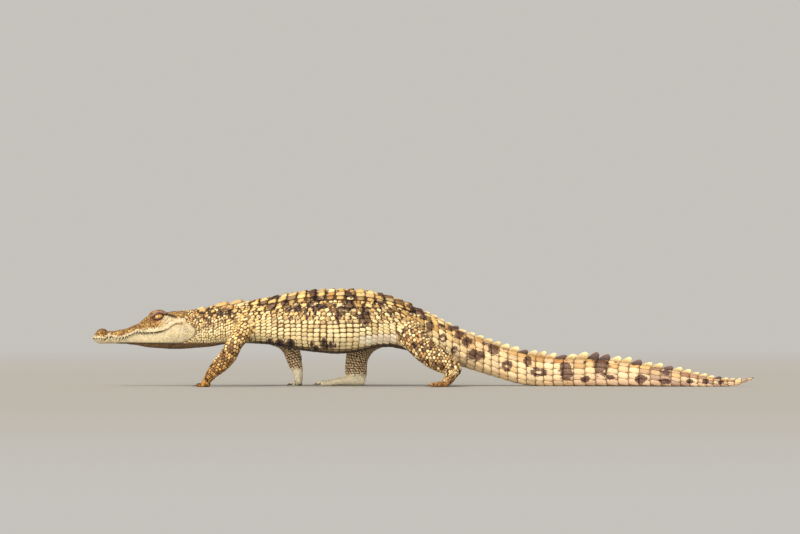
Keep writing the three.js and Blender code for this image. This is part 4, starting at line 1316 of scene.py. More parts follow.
# %% Scutes of the back
SCUTE_ROWS, SCUTE_PITCH, FIRST_SCUTE = 17, 21, 368
LANE = 19.5
LANE_SPREAD = [[368, 0.8], [420, 1], [600, 1], [704, 0.72], [760, 0.6]]


def trunk_map(x, share):
    return 0.02 + 0.96 * x / BODY_LENGTH, 0.7 + 0.28 * share


def trunk_uv(where, root):
    return trunk_map(where["x"], where["s"] / half_girth(where["x"]) * np.sign(where["side"]))


def trunk_tones(where, root):
    return trunk_tone(where["x"], where["s"] / half_girth(where["x"]), root)


def neck_tones(where, root):
    return mix(mix(CREAM, STRAW, scatter(root, 3.0)), OCHRE, 0.25 + 0.5 * scatter(root, 7.0))


def grow_on_trunk(name, where, template, tones=trunk_tones):
    return grow(name, trunk_at, where, template, (tones, trunk_mark, trunk_uv), HORN_FINISH)


def back_scutes():
    """Four lanes on each side. The fourth is the lane of small outer scutes."""
    rows, lanes = np.meshgrid(np.arange(SCUTE_ROWS), [0.5, 1.5, 2.5, 3.32], indexing="ij")
    x = (FIRST_SCUTE + SCUTE_PITCH * rows).ravel().astype(float)
    lanes = lanes.ravel()
    spread = along(LANE_SPREAD, x)
    outer = lanes > 3
    width = np.where(lanes < 2, 18.6, np.where(outer, 11.6, 17.4)) * spread
    jitter = chance(x, lanes, lanes)
    return both_sides(x=x + (jitter - 0.5) * 1.2, s=lanes * LANE * spread,
                      width=width * (0.95 + 0.07 * jitter),
                      length=np.where(outer, 15.6, 19.6), height=np.where(outer, 1.7, 2.4),
                      keel=np.where(lanes < 1, 2.6, np.where(outer, 1.3, 3.2)),
                      square=np.where(outer, 3.0, 4.4), lift=1.1)


# Shield of the nape and the small scutes round it: station, distance from the midline, length, width, height.
NECK_SCUTES = [(248, 25, 17, 16, 4.0), (243, 8.8, 17, 15, 3.4), (290, 12.7, 31, 23.5, 5.0),
               (323, 12.3, 30, 23, 5.0), (304, 35.5, 30, 20, 5.0), (335, 32.5, 20, 15, 3.2),
               (266, 17, 10, 9, 2.4), (272, 35, 10, 9, 2.4), (277, 49, 10, 9, 2.2), (258, 44, 9, 8, 2.0),
               (324, 51, 11, 9, 2.6), (341, 47, 11, 9, 2.6), (349, 20, 14, 12, 2.8), (351, 35, 12, 10, 2.6),
               (266, 5.4, 10, 9, 2.2)]


def neck_scutes():
    x, s, length, width, height = np.array(NECK_SCUTES, float).T
    return both_sides(x=x, s=s, length=length, width=width, height=0.75 * height, keel=0.8 * height,
                      square=4, lift=0.9)


grow_on_trunk("back_scutes", back_scutes(), LARGE)
grow_on_trunk("neck_scutes", neck_scutes(), LARGE, neck_tones)

# %% [markdown]
# ## Scales of the flanks, neck and belly
# Small beads fill the neck and the strip beside the scutes, ovals and then near-rectangles cover the flank in
# straight rows, and smooth square plates close the belly. All rows follow shares of the girth, so they draw
# together where the body is slim.

# %% Flank rows
FULL_GIRTH = 254.6
FLANK_FROM, FLANK_TO = 338, 716
LOOSE_ROWS = 5
# Rows below the scutes at full girth: distance from the midline, width, pitch, height, squareness.
FLANK_ROWS = [(76.5, 6.6, 9.5, 1.0, 2.2), (85.5, 11, 19, 1.6, 2.5), (97, 9.6, 13, 1.5, 2.4),
              (107, 8.8, 12, 1.4, 2.6), (116.5, 8.8, 13, 1.3, 2.8)]
FLANK_ROWS += [(s, width, 13.2, height, square) for s, width, height, square in (
    (126, 9, 1.2, 3.2), (135.5, 9, 1.1, 3.6), (145, 9.2, 1.0, 4), (155, 10.4, 0.9, 4.4),
    (166.3, 11.6, 0.8, 5), (178.4, 12, 0.7, 5), (190.7, 12, 0.6, 5), (203, 12, 0.6, 5),
    (215.3, 12, 0.6, 5), (227.6, 12, 0.6, 5), (240.9, 13, 0.6, 5))]


def flank_scales(side):
    groups = []
    for k, (s, width, pitch, height, square) in enumerate(FLANK_ROWS):
        x = np.arange(FLANK_FROM + (k % 2) * (s < 120) * pitch / 2, FLANK_TO, pitch)
        size = half_girth(x) / FULL_GIRTH
        soft = max(0.0, (150 - s) / 75)  # scales are looser and less even high on the flank
        shift, swell, loose = (chance(x, s, x * side, seed) - 0.5 for seed in (0.0, 2.0, 5.0))
        place = np.stack(np.broadcast_arrays(x, s, 50.0 * side), 1)
        sway, heave = 3.2 * drift(place, 46, 6.0), 3.0 * drift(place, 38, 14.0)
        groin = 0.5 * (s > 172) * (x > 590) * (x < 700)
        groups.append(spots(
            x=x + sway + (1 + 3 * soft) * shift, s=s * size + heave + 2 * soft * loose, side=side,
            width=width * size * (0.99 + 0.05 * swell + 0.12 * soft * swell - 0.06 * soft),
            length=pitch * (0.98 + 0.06 * swell - 0.1 * soft + 0.18 * soft * loose),
            pale_edge=(0.3 + groin) * (1 - min(1.0, 2 * soft)), height=height * (1 + 0.5 * swell),
            square=square, keel=0.6 if s < 110 else 0.0, lift=0.35))
    return together(groups)


def flank_granules(side):
    """Tiny beads that fill the corners between the ovals high on the flank."""
    groups = []
    for (s, _, pitch, _, _), (below, _, _, _, _) in zip(FLANK_ROWS[:LOOSE_ROWS], FLANK_ROWS[1:]):
        for part in (0.25, 0.75):
            x = np.arange(FLANK_FROM + part * pitch, FLANK_TO, pitch)
            size = half_girth(x) / FULL_GIRTH
            loose = chance(x, s, x * side, 7.0)
            groups.append(spots(x=x + 3 * (loose - 0.5), s=(s + below) / 2 * size, side=side,
                                width=3.4 * size + loose, length=3.6 + loose, height=0.9))
    return together(groups)


for side, word in ((-1, "left"), (1, "right")):
    grow_on_trunk("flank_scales_" + word, flank_scales(side), SMALL)
    grow_on_trunk("flank_granules_" + word, flank_granules(side), SMALL)

# %% [markdown]
# The neck has no straight rows. Beads in staggered rings run from the ragged rear edge of the smooth skull to
# the shoulders, small behind the jaw and larger towards the trunk, and leave the shield of the nape free.

# %% Where the smooth skull ends
BEAD, FIRST_BEAD = 6.4, 3.6
BEADS_FROM, BEADS_TO = 172, FLANK_FROM - 2
# Rear edge of the smooth cheek, as height and station.
CHEEK_END = [[84, 170], [90, 176], [95, 190], [100, 206], [105, 219], [112, 228], [119, 233], [126, 234],
             [133, 229], [140, 219], [147, 211], [156, 206], [180, 204]]


def cheek_end(points):
    """The station where the smooth skull ends: hollow behind the nape, bulging over the jaw's corner."""
    x, y, z = points.T
    roof = smooth(z, 146, 158)
    nape = -5 + 10 * smooth(np.abs(y), 2, 20) - 5 * smooth(np.abs(y), 22, 34)
    return along(CHEEK_END, z) + roof * (nape + 3.0 * drift(points * [0, 1, 1], 9, 61.0))


print("smooth cheek ends at", cheek_end(np.array([[0.0, 40, 126]])).round(), "mm")


# %% Beads of the neck
def bead_row(x, row):
    girth = float(half_girth(x))
    size = FIRST_BEAD + (BEAD - FIRST_BEAD) * float(smooth(x, 185, 270))
    count = int(girth / size)
    s = (np.arange(count) + (0.5 if row % 2 else 0.25)) * girth / count
    share = s / girth
    throat = smooth(share, 0.62, 0.8)
    calm = 1 - 0.7 * throat
    groups = []
    for side in (-1, 1):
        loose, swell = (chance(s, x, s * side, seed) for seed in (0.0, 3.0))
        group = spots(x=x + 3.0 * calm * (loose - 0.5), s=s + 2.4 * calm * (swell - 0.5), side=side,
                      width=size * (1.1 - 0.2 * calm * swell), length=size * (1.04 - 0.18 * calm * loose),
                      pale_edge=0.2 * smooth(share, 0.4, 0.6) * (1 - smooth(share, 0.8, 0.9)),
                      height=(1.7 - 0.8 * throat) * (0.6 + 0.5 * swell) * (0.3 + 0.7 * smooth(x, 180, 240)),
                      square=2.4 + 1.6 * throat + 0.8 * loose, lift=0.3, turn=0.5 * calm * (loose - 0.5))
        places = trunk_at(group["x"], group["s"], group["side"])[0] - [0, float(along(SWAY, x)), 0]
        groups.append(chosen(group, x > cheek_end(places) + 1.5))
    return together(groups), size


def shoulder_beads():
    groups = []
    for row, x in enumerate(np.arange(BEADS_TO + 2, FIRST_SCUTE - 12, BEAD * 0.9)):
        s = (np.arange(8) + 0.5 * (row % 2)) * 7.4
        loose = chance(s, x, s, 5.0)
        groups.append(both_sides(x=x + loose, s=s, width=6.9 - 1.6 * loose, length=6.6 - loose, height=1.5,
                                 square=2.6, lift=0.3))
    return groups


def neck_beads():
    groups, x, row = [], float(BEADS_FROM), 0
    while x < BEADS_TO:
        group, size = bead_row(x, row)
        groups.append(group)
        x, row = x + size * 0.9, row + 1
    made = together(groups + shoulder_beads())
    margin = 2.4
    free = np.ones(len(made["x"]), bool)
    for x, s, length, width, _ in NECK_SCUTES:
        free &= np.hypot((made["x"] - x) / (length / 2 + margin), (made["s"] - s) / (width / 2 + margin)) > 1
    return chosen(made, free)


grow_on_trunk("neck_beads", neck_beads(), SMALL)

# %% [markdown]
# ## Plates and crest of the tail
# The tail is ringed by whorls of oblong plates. Two crests of upright scales run back from the hips and merge
# into one, which makes the tail a taller oar for swimming.

# %% Plates of the tail
MERGE = 1112  # station where the two crests become one
PAIRED_WHORLS = [720, 737, 754, 770, 786, 802, 818, 835, 855, 875, 895, 914, 934, 956, 976, 997, 1017, 1040,
                 1063, 1086, MERGE]
SINGLE_WHORLS = [MERGE, 1136, 1160, 1185, 1208, 1231, 1255, 1278, 1300, 1321, 1341, 1359, 1377, 1393, 1409,
                 1425, 1440, 1455, 1468, 1480]
CREST_HEIGHT = [[737, 5], [786, 6.5], [835, 8], [875, 9], [934, 11.5], [976, 10.5], [1017, 14.5],
                [1063, 10.5], [1086, 11.5], [1112, 16], [1160, 15.5], [1208, 14], [1278, 12], [1341, 10.5],
                [1377, 8], [1425, 5.5], [1455, 3.5]]
CREST_OFFSET = [[726, 16], [900, 13], [1000, 11.5], [1113, 6]]
SIDE_ROWS = [[716, 7], [860, 5.6], [880, 5], [1000, 4.4], [1112, 4], [1200, 3.4], [1310, 2.6], [1400, 2],
             [1485, 1]]


def tail_plates():
    groups = []
    edges = PAIRED_WHORLS[:-1] + SINGLE_WHORLS
    for front, rear in zip(edges, edges[1:]):
        x = (front + rear) / 2
        girth = float(half_girth(x))
        start = along(CREST_OFFSET, x) + 3.4 if x < MERGE else 2.4
        rows = int(round(float(along(SIDE_ROWS, x))))
        low = min(15.0, 0.2 * girth)
        borders = np.concatenate([np.linspace(start, girth - 2 * low, rows + 1), [girth - low, girth]])
        middle, width = (borders[1:] + borders[:-1]) / 2, np.diff(borders)
        under = np.arange(len(middle)) >= rows
        if x < MERGE:  # one more plate lies on the back between the two crests
            middle, width = np.append(middle, start / 2 - 1.6), np.append(width, start - 4)
            under = np.append(under, False)
        loose = chance(middle, x, width)
        groups.append(both_sides(
            x=x + (loose - 0.5) * 1.2, s=middle, width=width * (0.99 + 0.02 * loose),
            length=(rear - front) * (0.965 + 0.02 * loose), height=np.where(under, 0.8, 1.1), lift=1.0,
            join=0.75, pale_edge=0.2, square=np.where(under, 6.5, 4.4), keel=np.where(under, 0, 0.8)))
    return together(groups)


grow_on_trunk("tail_plates", tail_plates(), PLATE)

# %% [markdown]
# A crest scale is an upright, leaf-shaped fin that leans back and thins towards its edge. One ball is bent
# into that leaf for each of them, as wide at its root as the tail allows.

# %% Shape of a crest scale
FIN_THICKNESS, FIN_ROOT = 4.2, 2.5


def fin_template():
    bm = bmesh.new()
    bmesh.ops.create_uvsphere(bm, u_segments=14, v_segments=9, radius=1)
    return plain_lists(bm)


def fin_corners(places, length, height, thickness):
    """A leaf-shaped fin that leans back: x to the tail, y across, z up from the skin."""
    v = places[:, 2] * 0.5 + 0.5
    ring = np.maximum(np.hypot(places[:, 0], places[:, 1]), 1e-9)
    fore, aside = places[:, 0] / ring, places[:, 1] / ring
    front = -0.52 + 0.7 * v ** 1.5
    rear = 0.47 + 0.1 * np.sin(math.pi * v * 0.9)
    closed = np.sqrt(np.clip(1 - ((v - 0.72) / 0.28).clip(0, 1) ** 2, 0, 1)) * (v > 0.001)
    x = (front + rear) / 2 + (rear - front) / 2 * fore * closed
    thin = (1 - 0.68 * v) * closed
    return np.stack([x * length, aside * thickness / 2 * thin, v * (height + FIN_ROOT) - FIN_ROOT], 1), v


def crest_spots():
    rows = []
    for edges, paired in ((PAIRED_WHORLS, True), (SINGLE_WHORLS[:-2], False)):
        for front, rear in zip(edges, edges[1:]):
            x = (front + rear) / 2
            for side in ((-1, 1) if paired else (0,)):
                rows.append((x, side * float(along(CREST_OFFSET, x)), (rear - front) * 1.12,
                             float(along(CREST_HEIGHT, rear)), side))
    return rows


print("crest scales", len(crest_spots()))


# %% Crest
def fin_frame(x, s, side):
    """Middle of the root, and the directions to the tail, across and up, of a crest scale."""
    way = np.array([side or 1])
    middle, out = trunk_at(np.array([x]), np.array([abs(s)]), way)
    ahead, _ = trunk_at(np.array([x + 3.0]), np.array([abs(s)]), way)
    aft = (ahead - middle)[0] / np.linalg.norm(ahead - middle)
    up = mix(np.array([0, 0, 1.0]), out[0], 0.35 if side else 0.0)
    up = unit(up - aft * (up @ aft))
    return middle, (aft, np.cross(up, aft), up)


def fin_tone(x, fore, v, middle):
    """Pale or dark as the bar below it, warm near its root, with painted shade at its root and a darker tip.
    """
    dark = float(bar_field(np.array([x]), np.zeros(1), middle)[0] > 0)
    # edge is painted shade at the fin's root, half as bright there, and it dims the tip a little.
    edge = (0.5 + 0.55 * smooth(v, 0.15, 0.9) - 0.22 * smooth(v, 0.92, 1.0))[:, None]
    warm = (0.9 if 999 < x < 1045 else 0.3) * (1 - smooth(fore + 0.3 * v, 0.15, 0.55))
    pale = mix(mix(STRAW, CREAM, v), linear(206, 140, 70), warm)
    return (pale * (1 - dark) + mix(PLUM, linear(112, 84, 76), v) * dark) * edge


def build_crest():
    places, faces = fin_template()
    fins = crest_spots()
    points, tones, uv = [], [], []
    for k, (x, s, length, height, side) in enumerate(fins):
        thickness = min(FIN_THICKNESS, 0.7 * float(along(HALF_WIDTH, x)))
        uneven = 0.86 + 0.28 * ((k * 5 + (k // 7) * 3) % 9) / 8
        corners, v = fin_corners(places, length, height * uneven, thickness)
        middle, axes = fin_frame(x, s, side)
        place = middle
        for measures, axis in zip(corners.T, axes):
            place = place + np.outer(measures, axis)
        points.append(place)
        tones.append(fin_tone(x, np.abs(corners[:, 0]) / length, v, middle) * (0.9 + 0.2 * ((k * 7) % 5) / 4))
        patch = np.stack([corners[:, 0] / length * 2, v * 2 - 1], 1)
        uv.append(np.array(trunk_map(x, s / float(half_girth(x)))) + PATCH * patch)
    loops, sizes = repeated_faces(faces, len(places), np.zeros(len(fins), bool))
    unmarked = np.full(len(fins) * len(places), -1.0)
    joined_mesh("tail_crest", np.concatenate(points), loops, sizes, np.concatenate(tones), unmarked,
                np.concatenate(uv), HORN_FINISH)


build_crest()

# %% [markdown]
# ## Scales of the legs and feet
# The legs have their own charts: a distance down the leg and a distance round it. Their scales are small
# rounded lozenges in staggered rings, largest on the thigh and finest above the toes.

# %% Charts of the legs
def make_chart(rings):
    """The chart of a limb, its length, and its girth at a distance down the limb."""
    middle = rings.mean(1)
    down = np.concatenate([[0], np.cumsum(np.linalg.norm(np.diff(middle, axis=0), axis=1))])
    around = np.linalg.norm(rings - np.roll(rings, 1, 1), axis=2).sum(1)
    out = ring_normals(rings)
    if ((rings - middle[:, None]) * out).sum() < 0:
        out = -out
    columns = rings.shape[1]

    def girth(t):
        return np.interp(t, down, around)

    def chart(t, s, side):
        row = np.interp(t, down, np.arange(len(down)))
        column = (s / girth(t) * columns) % columns
        return blend_rows(rings, row, column), unit(blend_rows(out, row, column))

    return chart, down[-1], girth


def ring_scales(length, girth, pitch, height):
    groups = []
    t, row = 0.0, 0
    while t < length:
        around = float(girth(t))
        step = float(np.interp(t, [0.0, length], pitch))
        count = max(int(round(around / step)), 5)
        s = (np.arange(count) + 0.5 * (row % 2)) * around / count
        loose, swell = (chance(s, t, s, seed) for seed in (0.0, 3.0))
        groups.append(spots(x=t + 0.22 * step * (loose - 0.5), s=s + 0.2 * step * (swell - 0.5),
                            width=around / count * (0.98 - 0.12 * swell), length=step * (1.0 - 0.12 * loose),
                            height=height * (0.8 + 0.4 * loose), square=2.6 + 0.8 * swell, lift=0.3,
                            turn=0.25 * (loose - 0.5)))
        t, row = t + step * 0.93, row + 1
    return together(groups)


print("charts for", len(LEGS), "legs")

# %% Colours of the legs
FAR_LEG = linear(214, 184, 148)
# Light colour of each leg, colour of its foot, the heights between which the one turns into the other, and
# the share of brown scales.
OUTER_FACE = {"foreleg": (mix(GOLD, CREAM, 0.3), linear(200, 146, 62), 10, 90, 0.5),
              # The hind feet's ochre is partly their own brown and partly painted shade.
              "hindleg": (mix(CREAM, STRAW, 0.5), OCHRE, 10, 34, 0.42)}
INNER_FACE = {"foreleg": (FAR_LEG, IVORY, 32, 42, 0.12), "hindleg": (FAR_LEG, IVORY, 18, 26, 0.08)}


def outer_share(name, points):
    """1 on the outer face of a leg and 0 on its inner face, with a ragged edge between them."""
    way = way_of(name)
    line = np.array([section[:3] for section in LEGS[name]["leg"]][::-1])
    past = way * (points[:, 1] - np.interp(points[:, 2], line[:, 2], line[:, 1]))
    past = past + 4 * drift(points, 12, 23.0)
    low = 1 - smooth(points[:, 2], 14, 34)
    start = 1.0 if way > 0 else -9 - 20 * low
    return smooth(past - start, 0, 8)


def face_tone(kind, looks, points):
    light, foot, foot_low, foot_high, brown = looks[kind]
    inner = looks is INNER_FACE
    speck, pick = drift(points, 8, 3.0), scatter(points, 1.0)
    shoulder = smooth(points[:, 2], 92, 122) * (kind == "foreleg")
    brown = brown * (1 - 0.35 * shoulder)
    tone = mix(light, CREAM, 0.3 + 0.3 * speck)
    tone = mix(tone, OCHRE, np.clip((scatter(points, 6.0) - 1 + 1.6 * brown) * 2, 0, 0.8))
    tone = mix(tone, STRAW, 0.5 * shoulder)
    ragged = points[:, 2] + 12 * drift(points, 13, 17.0)
    tone = mix(tone, foot, 0.95 * (1 - smooth(ragged, foot_low, foot_high)))
    sole = 1 - smooth(ragged, foot_low - 4, foot_low) if inner else 0
    tone = mix(tone, UMBER, np.clip((pick - 1 + brown) * 5, 0, 0.85) * (1 - sole))
    return tone * (0.86 + 0.28 * scatter(points, 4.0) * (1 - 0.6 * sole))[:, None]


def leg_tone(name, points):
    kind = name.split("_")[0]
    inner, outer = (face_tone(kind, looks, points) for looks in (INNER_FACE, OUTER_FACE))
    return mix(inner, outer, outer_share(name, points))


def leg_mark(name, points):
    """Small dark patches on the outer faces of the legs, none on the paler inner faces."""
    shoulder = smooth(points[:, 2], 92, 118) * name.startswith("foreleg")
    patch = 2.2 * (drift(points, 9, 31.0) - 0.24) - 1.2 * shoulder
    return np.where(outer_share(name, points) > 0.5, patch, -1.0)


knee = np.array([[600.0, -80, 60]])
print("a hind leg's colour", leg_tone("hindleg_left", knee).round(3))

# %% Scales of the legs
MAP_START, MAP_STEP = 0.03, 0.24  # each leg's strip on the map for baking
RIGHT_FINER, RIGHT_TURN = 0.92, 0.62  # the right legs are seen from their inner, finer side
# Each part of a leg: its rings, the pitch of its scales at both ends, their height, its place on the map.
LEG_PARTS = {"leg": ("rings", (8.8, 5.9), 1.0, 0.05), "foot": ("palm_rings", (5, 3.6), 0.6, 0.4)}


def leg_looks(name, place_on_map):
    def tones(where, root):
        return leg_tone(name, root)

    def marks(x, s, points):
        return leg_mark(name, points)

    return tones, marks, place_on_map


def leg_scales(name, part, chart, length, girth):
    """The scales on one side of the cut between leg and foot."""
    _, pitch, height, _ = LEG_PARTS[part]
    right = name.endswith("right")
    fine = RIGHT_FINER if right and part == "leg" else 1.0
    where = ring_scales(length, girth, np.multiply(pitch, fine), height * fine)
    plane, normal = (np.array(v, float) for v in LEGS[name]["cut"])
    past = (chart(where["x"], where["s"], None)[0] - plane) @ unit(normal)
    where = chosen(where, past > -1.5 if part == "foot" else past < 1.0)
    if right and part == "foot":
        where["pale_edge"] += 0.8
    elif right:
        where["turn"] += RIGHT_TURN
        where["length"] *= 0.74
        where["width"] *= 1.12
    return where


def cover_leg(number, name, part):
    rings, _, _, low = LEG_PARTS[part]
    chart, length, girth = make_chart(LEGS[name][rings])

    def place_on_map(where, root):
        across = MAP_START + MAP_STEP * number + 0.2 * where["s"] / girth(where["x"])
        return across, low + 0.2 * where["x"] / length

    grow(name.replace("leg", part) + "_scales", chart, leg_scales(name, part, chart, length, girth), SMALL,
         leg_looks(name, place_on_map), HORN_FINISH)


for number, name in enumerate(LEGS):
    for part in LEG_PARTS:
        cover_leg(number, name, part)


# %% Scutes of the toes
def toe_scutes(k, rings, length, girth):
    """One row of broad scutes over a toe and a row of small ones on each side of it."""
    top = np.argmax(rings[TOE_ROWS // 2][:, 2]) / TOE_COLUMNS
    t = np.arange(7.0, length - 1.5, 3.5)
    around = girth(t)
    rows = [spots(x=t, s=top * around, width=around * 0.34, length=3.5, height=0.55, square=3.2, lift=0.3,
                  side=k)]
    for way in (-1, 1):
        rows.append(spots(x=t + 1.7, s=(top + 0.245 * way) * around, width=around * 0.13, length=3.3,
                          height=0.4, square=2.6, lift=0.2, side=k))
    return rows


def cover_toes(number, name, leg):
    """All toes of a foot in one piece. Here the side of a scale is the number of its toe."""
    charts = [make_chart(rings) for rings in leg["toe_rings"]]
    groups = []
    for k, (rings, (_, length, girth)) in enumerate(zip(leg["toe_rings"], charts)):
        groups += toe_scutes(k, rings, length, girth)

    def foot_chart(x, s, toe):
        points, normals = np.zeros((len(x), 3)), np.zeros((len(x), 3))
        for k, (chart, _, _) in enumerate(charts):
            mine = toe == k
            if mine.any():
                points[mine], normals[mine] = chart(x[mine], s[mine], None)
        return points, normals

    def place_on_map(where, root):
        return MAP_START + MAP_STEP * number + 0.04 * where["side"], 0.63 + 0.0006 * where["x"]

    where = together(groups)
    where["pale_edge"] += 0.7 if name.endswith("right") else 0.0
    grow(name.replace("leg", "toe") + "_scales", foot_chart, where, SMALL, leg_looks(name, place_on_map),
         HORN_FINISH)


for number, (name, leg) in enumerate(LEGS.items()):
    cover_toes(number, name, leg)

# %% [markdown]
# ## Colour of the skin
# Between the scales the skin is dark on the back and paler below, and it keeps a little of the colour of the
# horn beside it. The head has no raised scales, so there the skin carries all the colours itself.

# %% Colour of the head
def crack_depth(mm):
    """Cracks are deep on the snout and the skull's roof, and hardly show on the smooth cheeks."""
    x, z = mm[:, 0], mm[:, 2]
    mouth = along(GAPE, x)
    upper = smooth(z - mouth, 2, 12)
    cheek = smooth(x, 120, 165) * (1 - smooth(z, 146, 160))
    broken = 0.55 + 0.75 * drift(mm, 11, 3.0)
    return np.clip((0.42 + 0.6 * upper) * (1 - 0.3 * cheek) * broken, 0.24, 1)


def ground_tone(mm):
    """Brown over a cream cheek, painted shade on the throat and under the jaw's ledge, and an ochre chin
    edge.
    """
    x, z = mm[:, 0], mm[:, 2]
    speck, patch = drift(mm, 3.4, 2.0), drift(mm, 14, 8.0)
    mouth, floor_line = along(GAPE, x), jaw_edge(x)[1]
    over = smooth(z - mouth + 4.5 * speck - 6 * smooth(x, 90, 145), 1.5, 8.5)
    crown = mix(STRAW, OCHRE, np.clip(0.5 + 0.9 * speck, 0, 1))
    crown = mix(crown, UMBER, np.clip(0.38 + 0.5 * patch + 1.1 * speck, 0, 0.85))
    crown = mix(crown, UMBER, 0.35 * smooth(z - along(SNOUT_TOP, x), -6, 0))
    cheek = mix(CREAM, linear(244, 222, 184), np.clip(0.4 + 0.8 * patch, 0, 1)) * [0.83, 0.87, 0.92]
    back_of_eye = smooth(x + 6 * patch, 142, 172)
    roof = smooth(z + 3 * patch + 0.42 * (x - 178), 153, 160)
    tone = mix(cheek, crown, over * (1 - back_of_eye * (1 - roof)))
    # Painted shade on the throat below the jaw's ledge, and a darker painted shadow line just below the
    # ledge.
    throat = smooth(floor_line - z, -1.0, 2.0) * smooth(x, 40, 80)
    tone = mix(tone, mix(UMBER, OCHRE, np.clip(0.1 + speck, 0, 0.5)) * 0.8, 0.92 * throat)
    tone = mix(tone, BARK, 0.7 * np.exp(-((z - floor_line + 1.2) / 1.3) ** 2) * smooth(x, 40, 80))
    return mix(tone, OCHRE, 0.4 * (1 - smooth(z - along(JAW_BOTTOM, x), 0.5, 3)) * (1 - smooth(x, 40, 80)))


def mouth_tone(tone, x, y, z):
    """Painted shade along the mouth, wavy where the teeth stand, and the fold behind the mouth's corner."""
    mouth = along(GAPE, x)
    teeth_zone = smooth(x, 26, 34) * (1 - smooth(x, 112, 128))
    wave = 2.1 * teeth_zone * np.sin(x * 2 * math.pi / 6.4)
    thick = 1.5 + 0.4 * teeth_zone - 0.6 * smooth(x, 125, 165)
    # seam is painted shade in the groove between the lips.
    seam = np.exp(-((z - mouth + 0.6 + wave) / thick) ** 2) * (1 - smooth(x, 184, 196)) * (y > 1)
    tone = mix(tone, BARK * 0.35, seam * (1 - 0.8 * smooth(x, 152, 174)))
    fold = np.exp(-((z - mouth - 0.5) / 2.2) ** 2) * smooth(x, 182, 190) * (1 - smooth(x, 214, 224))
    return mix(tone, OCHRE, 0.6 * fold)


def eye_tone(tone, x, y, z):
    """Dark and pink rims round the opening of the lids, the dark one partly painted shade in the opening's
    corners.
    """
    gap = lid_opening(x - EYE[0], z - EYE[2])
    near_eye = (np.abs(x - EYE[0]) < 19) & (y > 12) & (z > 143)
    # Painted shade: the skin inside the opening, seen in its sunk corners, is fully dark; outside it the dark
    # edge is the lid's own.
    tone = mix(tone, BARK, 0.85 * np.exp(-(np.minimum(gap, 0) / 2.0) ** 2) * near_eye)
    lid = near_eye * np.exp(-((gap + 4.6) / 2.0) ** 2) * smooth(z, 156, 160)
    tone = mix(tone, linear(176, 134, 124), 0.85 * lid)
    lash = near_eye * np.exp(-((gap + 5.0) / 1.7) ** 2) * (1 - smooth(z, 152, 156))
    return mix(tone, linear(150, 84, 62), 0.75 * lash)


def head_tone(mm):
    x, y, z = mm[:, 0], np.abs(mm[:, 1]), mm[:, 2]
    tone = eye_tone(mouth_tone(ground_tone(mm), x, y, z), x, y, z)
    # Painted shade in the fold at the rear edge of the smooth cheek, low on the jaw.
    jaw_fold = np.exp(-((x - along(CHEEK_END, z) + 1.0) / 2.4) ** 2) * (1 - smooth(z, 132, 144)) * (z < 144)
    tone = mix(tone, BARK, 0.75 * jaw_fold)
    # Painted shade in the slit under the ear flap.
    ear = np.exp(-(segment_distance(x, z, EAR_LINE) / 2.6) ** 2) * (y > 12) * (x > 155)
    tone = mix(tone, BARK * 0.5, 0.9 * ear)
    # Painted shade inside the nostrils.
    nose = np.exp(-(((x - NOSTRIL[0]) / 3.8) ** 2 + ((y - NOSTRIL[1]) / 2.1) ** 2)) * (z > 122)
    rim = np.exp(-((np.hypot((x - 20.5) / 11.5, (z - 122) / 7.5) - 1) / 0.14) ** 2) * (x < 36) * (z > 119)
    tone = mix(tone, UMBER, 0.7 * rim)
    return mix(tone, BARK * 0.4, 0.92 * nose)


print("snout's colour", head_tone(np.array([[60.0, 0, 120]])).round(3))

# %% Colour of the skin itself
BETWEEN = 0.05  # how much of the horn's colour the soft skin between the scales keeps
LEG_REACH = 130


def paint_legs(tone, mark, mm, y, zone):
    x, z = mm[:, 0], mm[:, 2]
    for name, leg in LEGS.items():
        middle = np.mean([section[0] for section in leg["leg"] + leg["palm"]])
        mine = zone & (np.sign(y) == way_of(name)) & (np.abs(x - middle) < LEG_REACH)
        pale_foot = 1.5 * (1 - smooth(z, *INNER_FACE[name.split("_")[0]][2:4]))
        outer = outer_share(name, mm)
        foot = pale_foot * (1 - outer) + (1 - smooth(z, 6, 16)) * outer
        tone[mine] = mix(GROOVE, leg_tone(name, mm), np.clip(BETWEEN + 0.55 * foot, 0, 0.9))[mine]
        mark[mine] = leg_mark(name, mm)[mine]


def paint_skin():
    mm = to_mm(vertex_array(skin.data))
    x, z = mm[:, 0], mm[:, 2]
    y = mm[:, 1] - along(SWAY, x)
    top, bottom = along(BACK, x), along(BELLY, x)
    share = np.clip((top - z) / np.maximum(top - bottom, 1), 0, 1)
    pale_low = smooth(share, 0.35, 0.6) * (1 - smooth(share, 0.86, 0.94)) * (1 - smooth(x, 330, 420))
    between = BETWEEN + 0.12 * pale_low + 0.3 * tail_share(x) + 0.6 * groin_band(x, z)
    deep = mix(GROOVE * 0.55, GROOVE, smooth(share, 0.22, 0.45))
    tone = mix(deep, trunk_tone(x, share * 0.9, mm), between)
    mark = trunk_mark(x, share * 0.9 * half_girth(x), mm)
    limb_zone = (np.abs(y) > along(HALF_WIDTH, x) + 3) | (z < bottom - 4)
    paint_legs(tone, mark, mm, y, limb_zone & (x > 215) & (x < 860))
    head = 1 - smooth(x + 2 * drift(mm, 7) - cheek_end(np.stack([x, y, z], 1)), -2, 3)
    upper = smooth(x, 118, 165) * (1 - smooth(z, 146, 156))
    freckled = upper + 0.5 * smooth(z - along(GAPE, x), -14, -3) * (x < 118)
    paint(skin.data, mix(tone, head_tone(mm), head), mark=np.where(head > 0.3, -1, mark),
          crack=head * crack_depth(mm),
          dots=head * np.clip(freckled + 0.5 * drift(mm, 15, 4.0), 0, 1))


paint_skin()
finish(skin, SKIN_FINISH)

# %% [markdown]
# ## Eyes, lids, teeth and claws
# The eye is a ball in its socket with a golden iris and an upright slit. The lids are thick wet rims that
# follow the almond, and teeth and claws are cones, bent a little, with their roots hidden in the flesh.

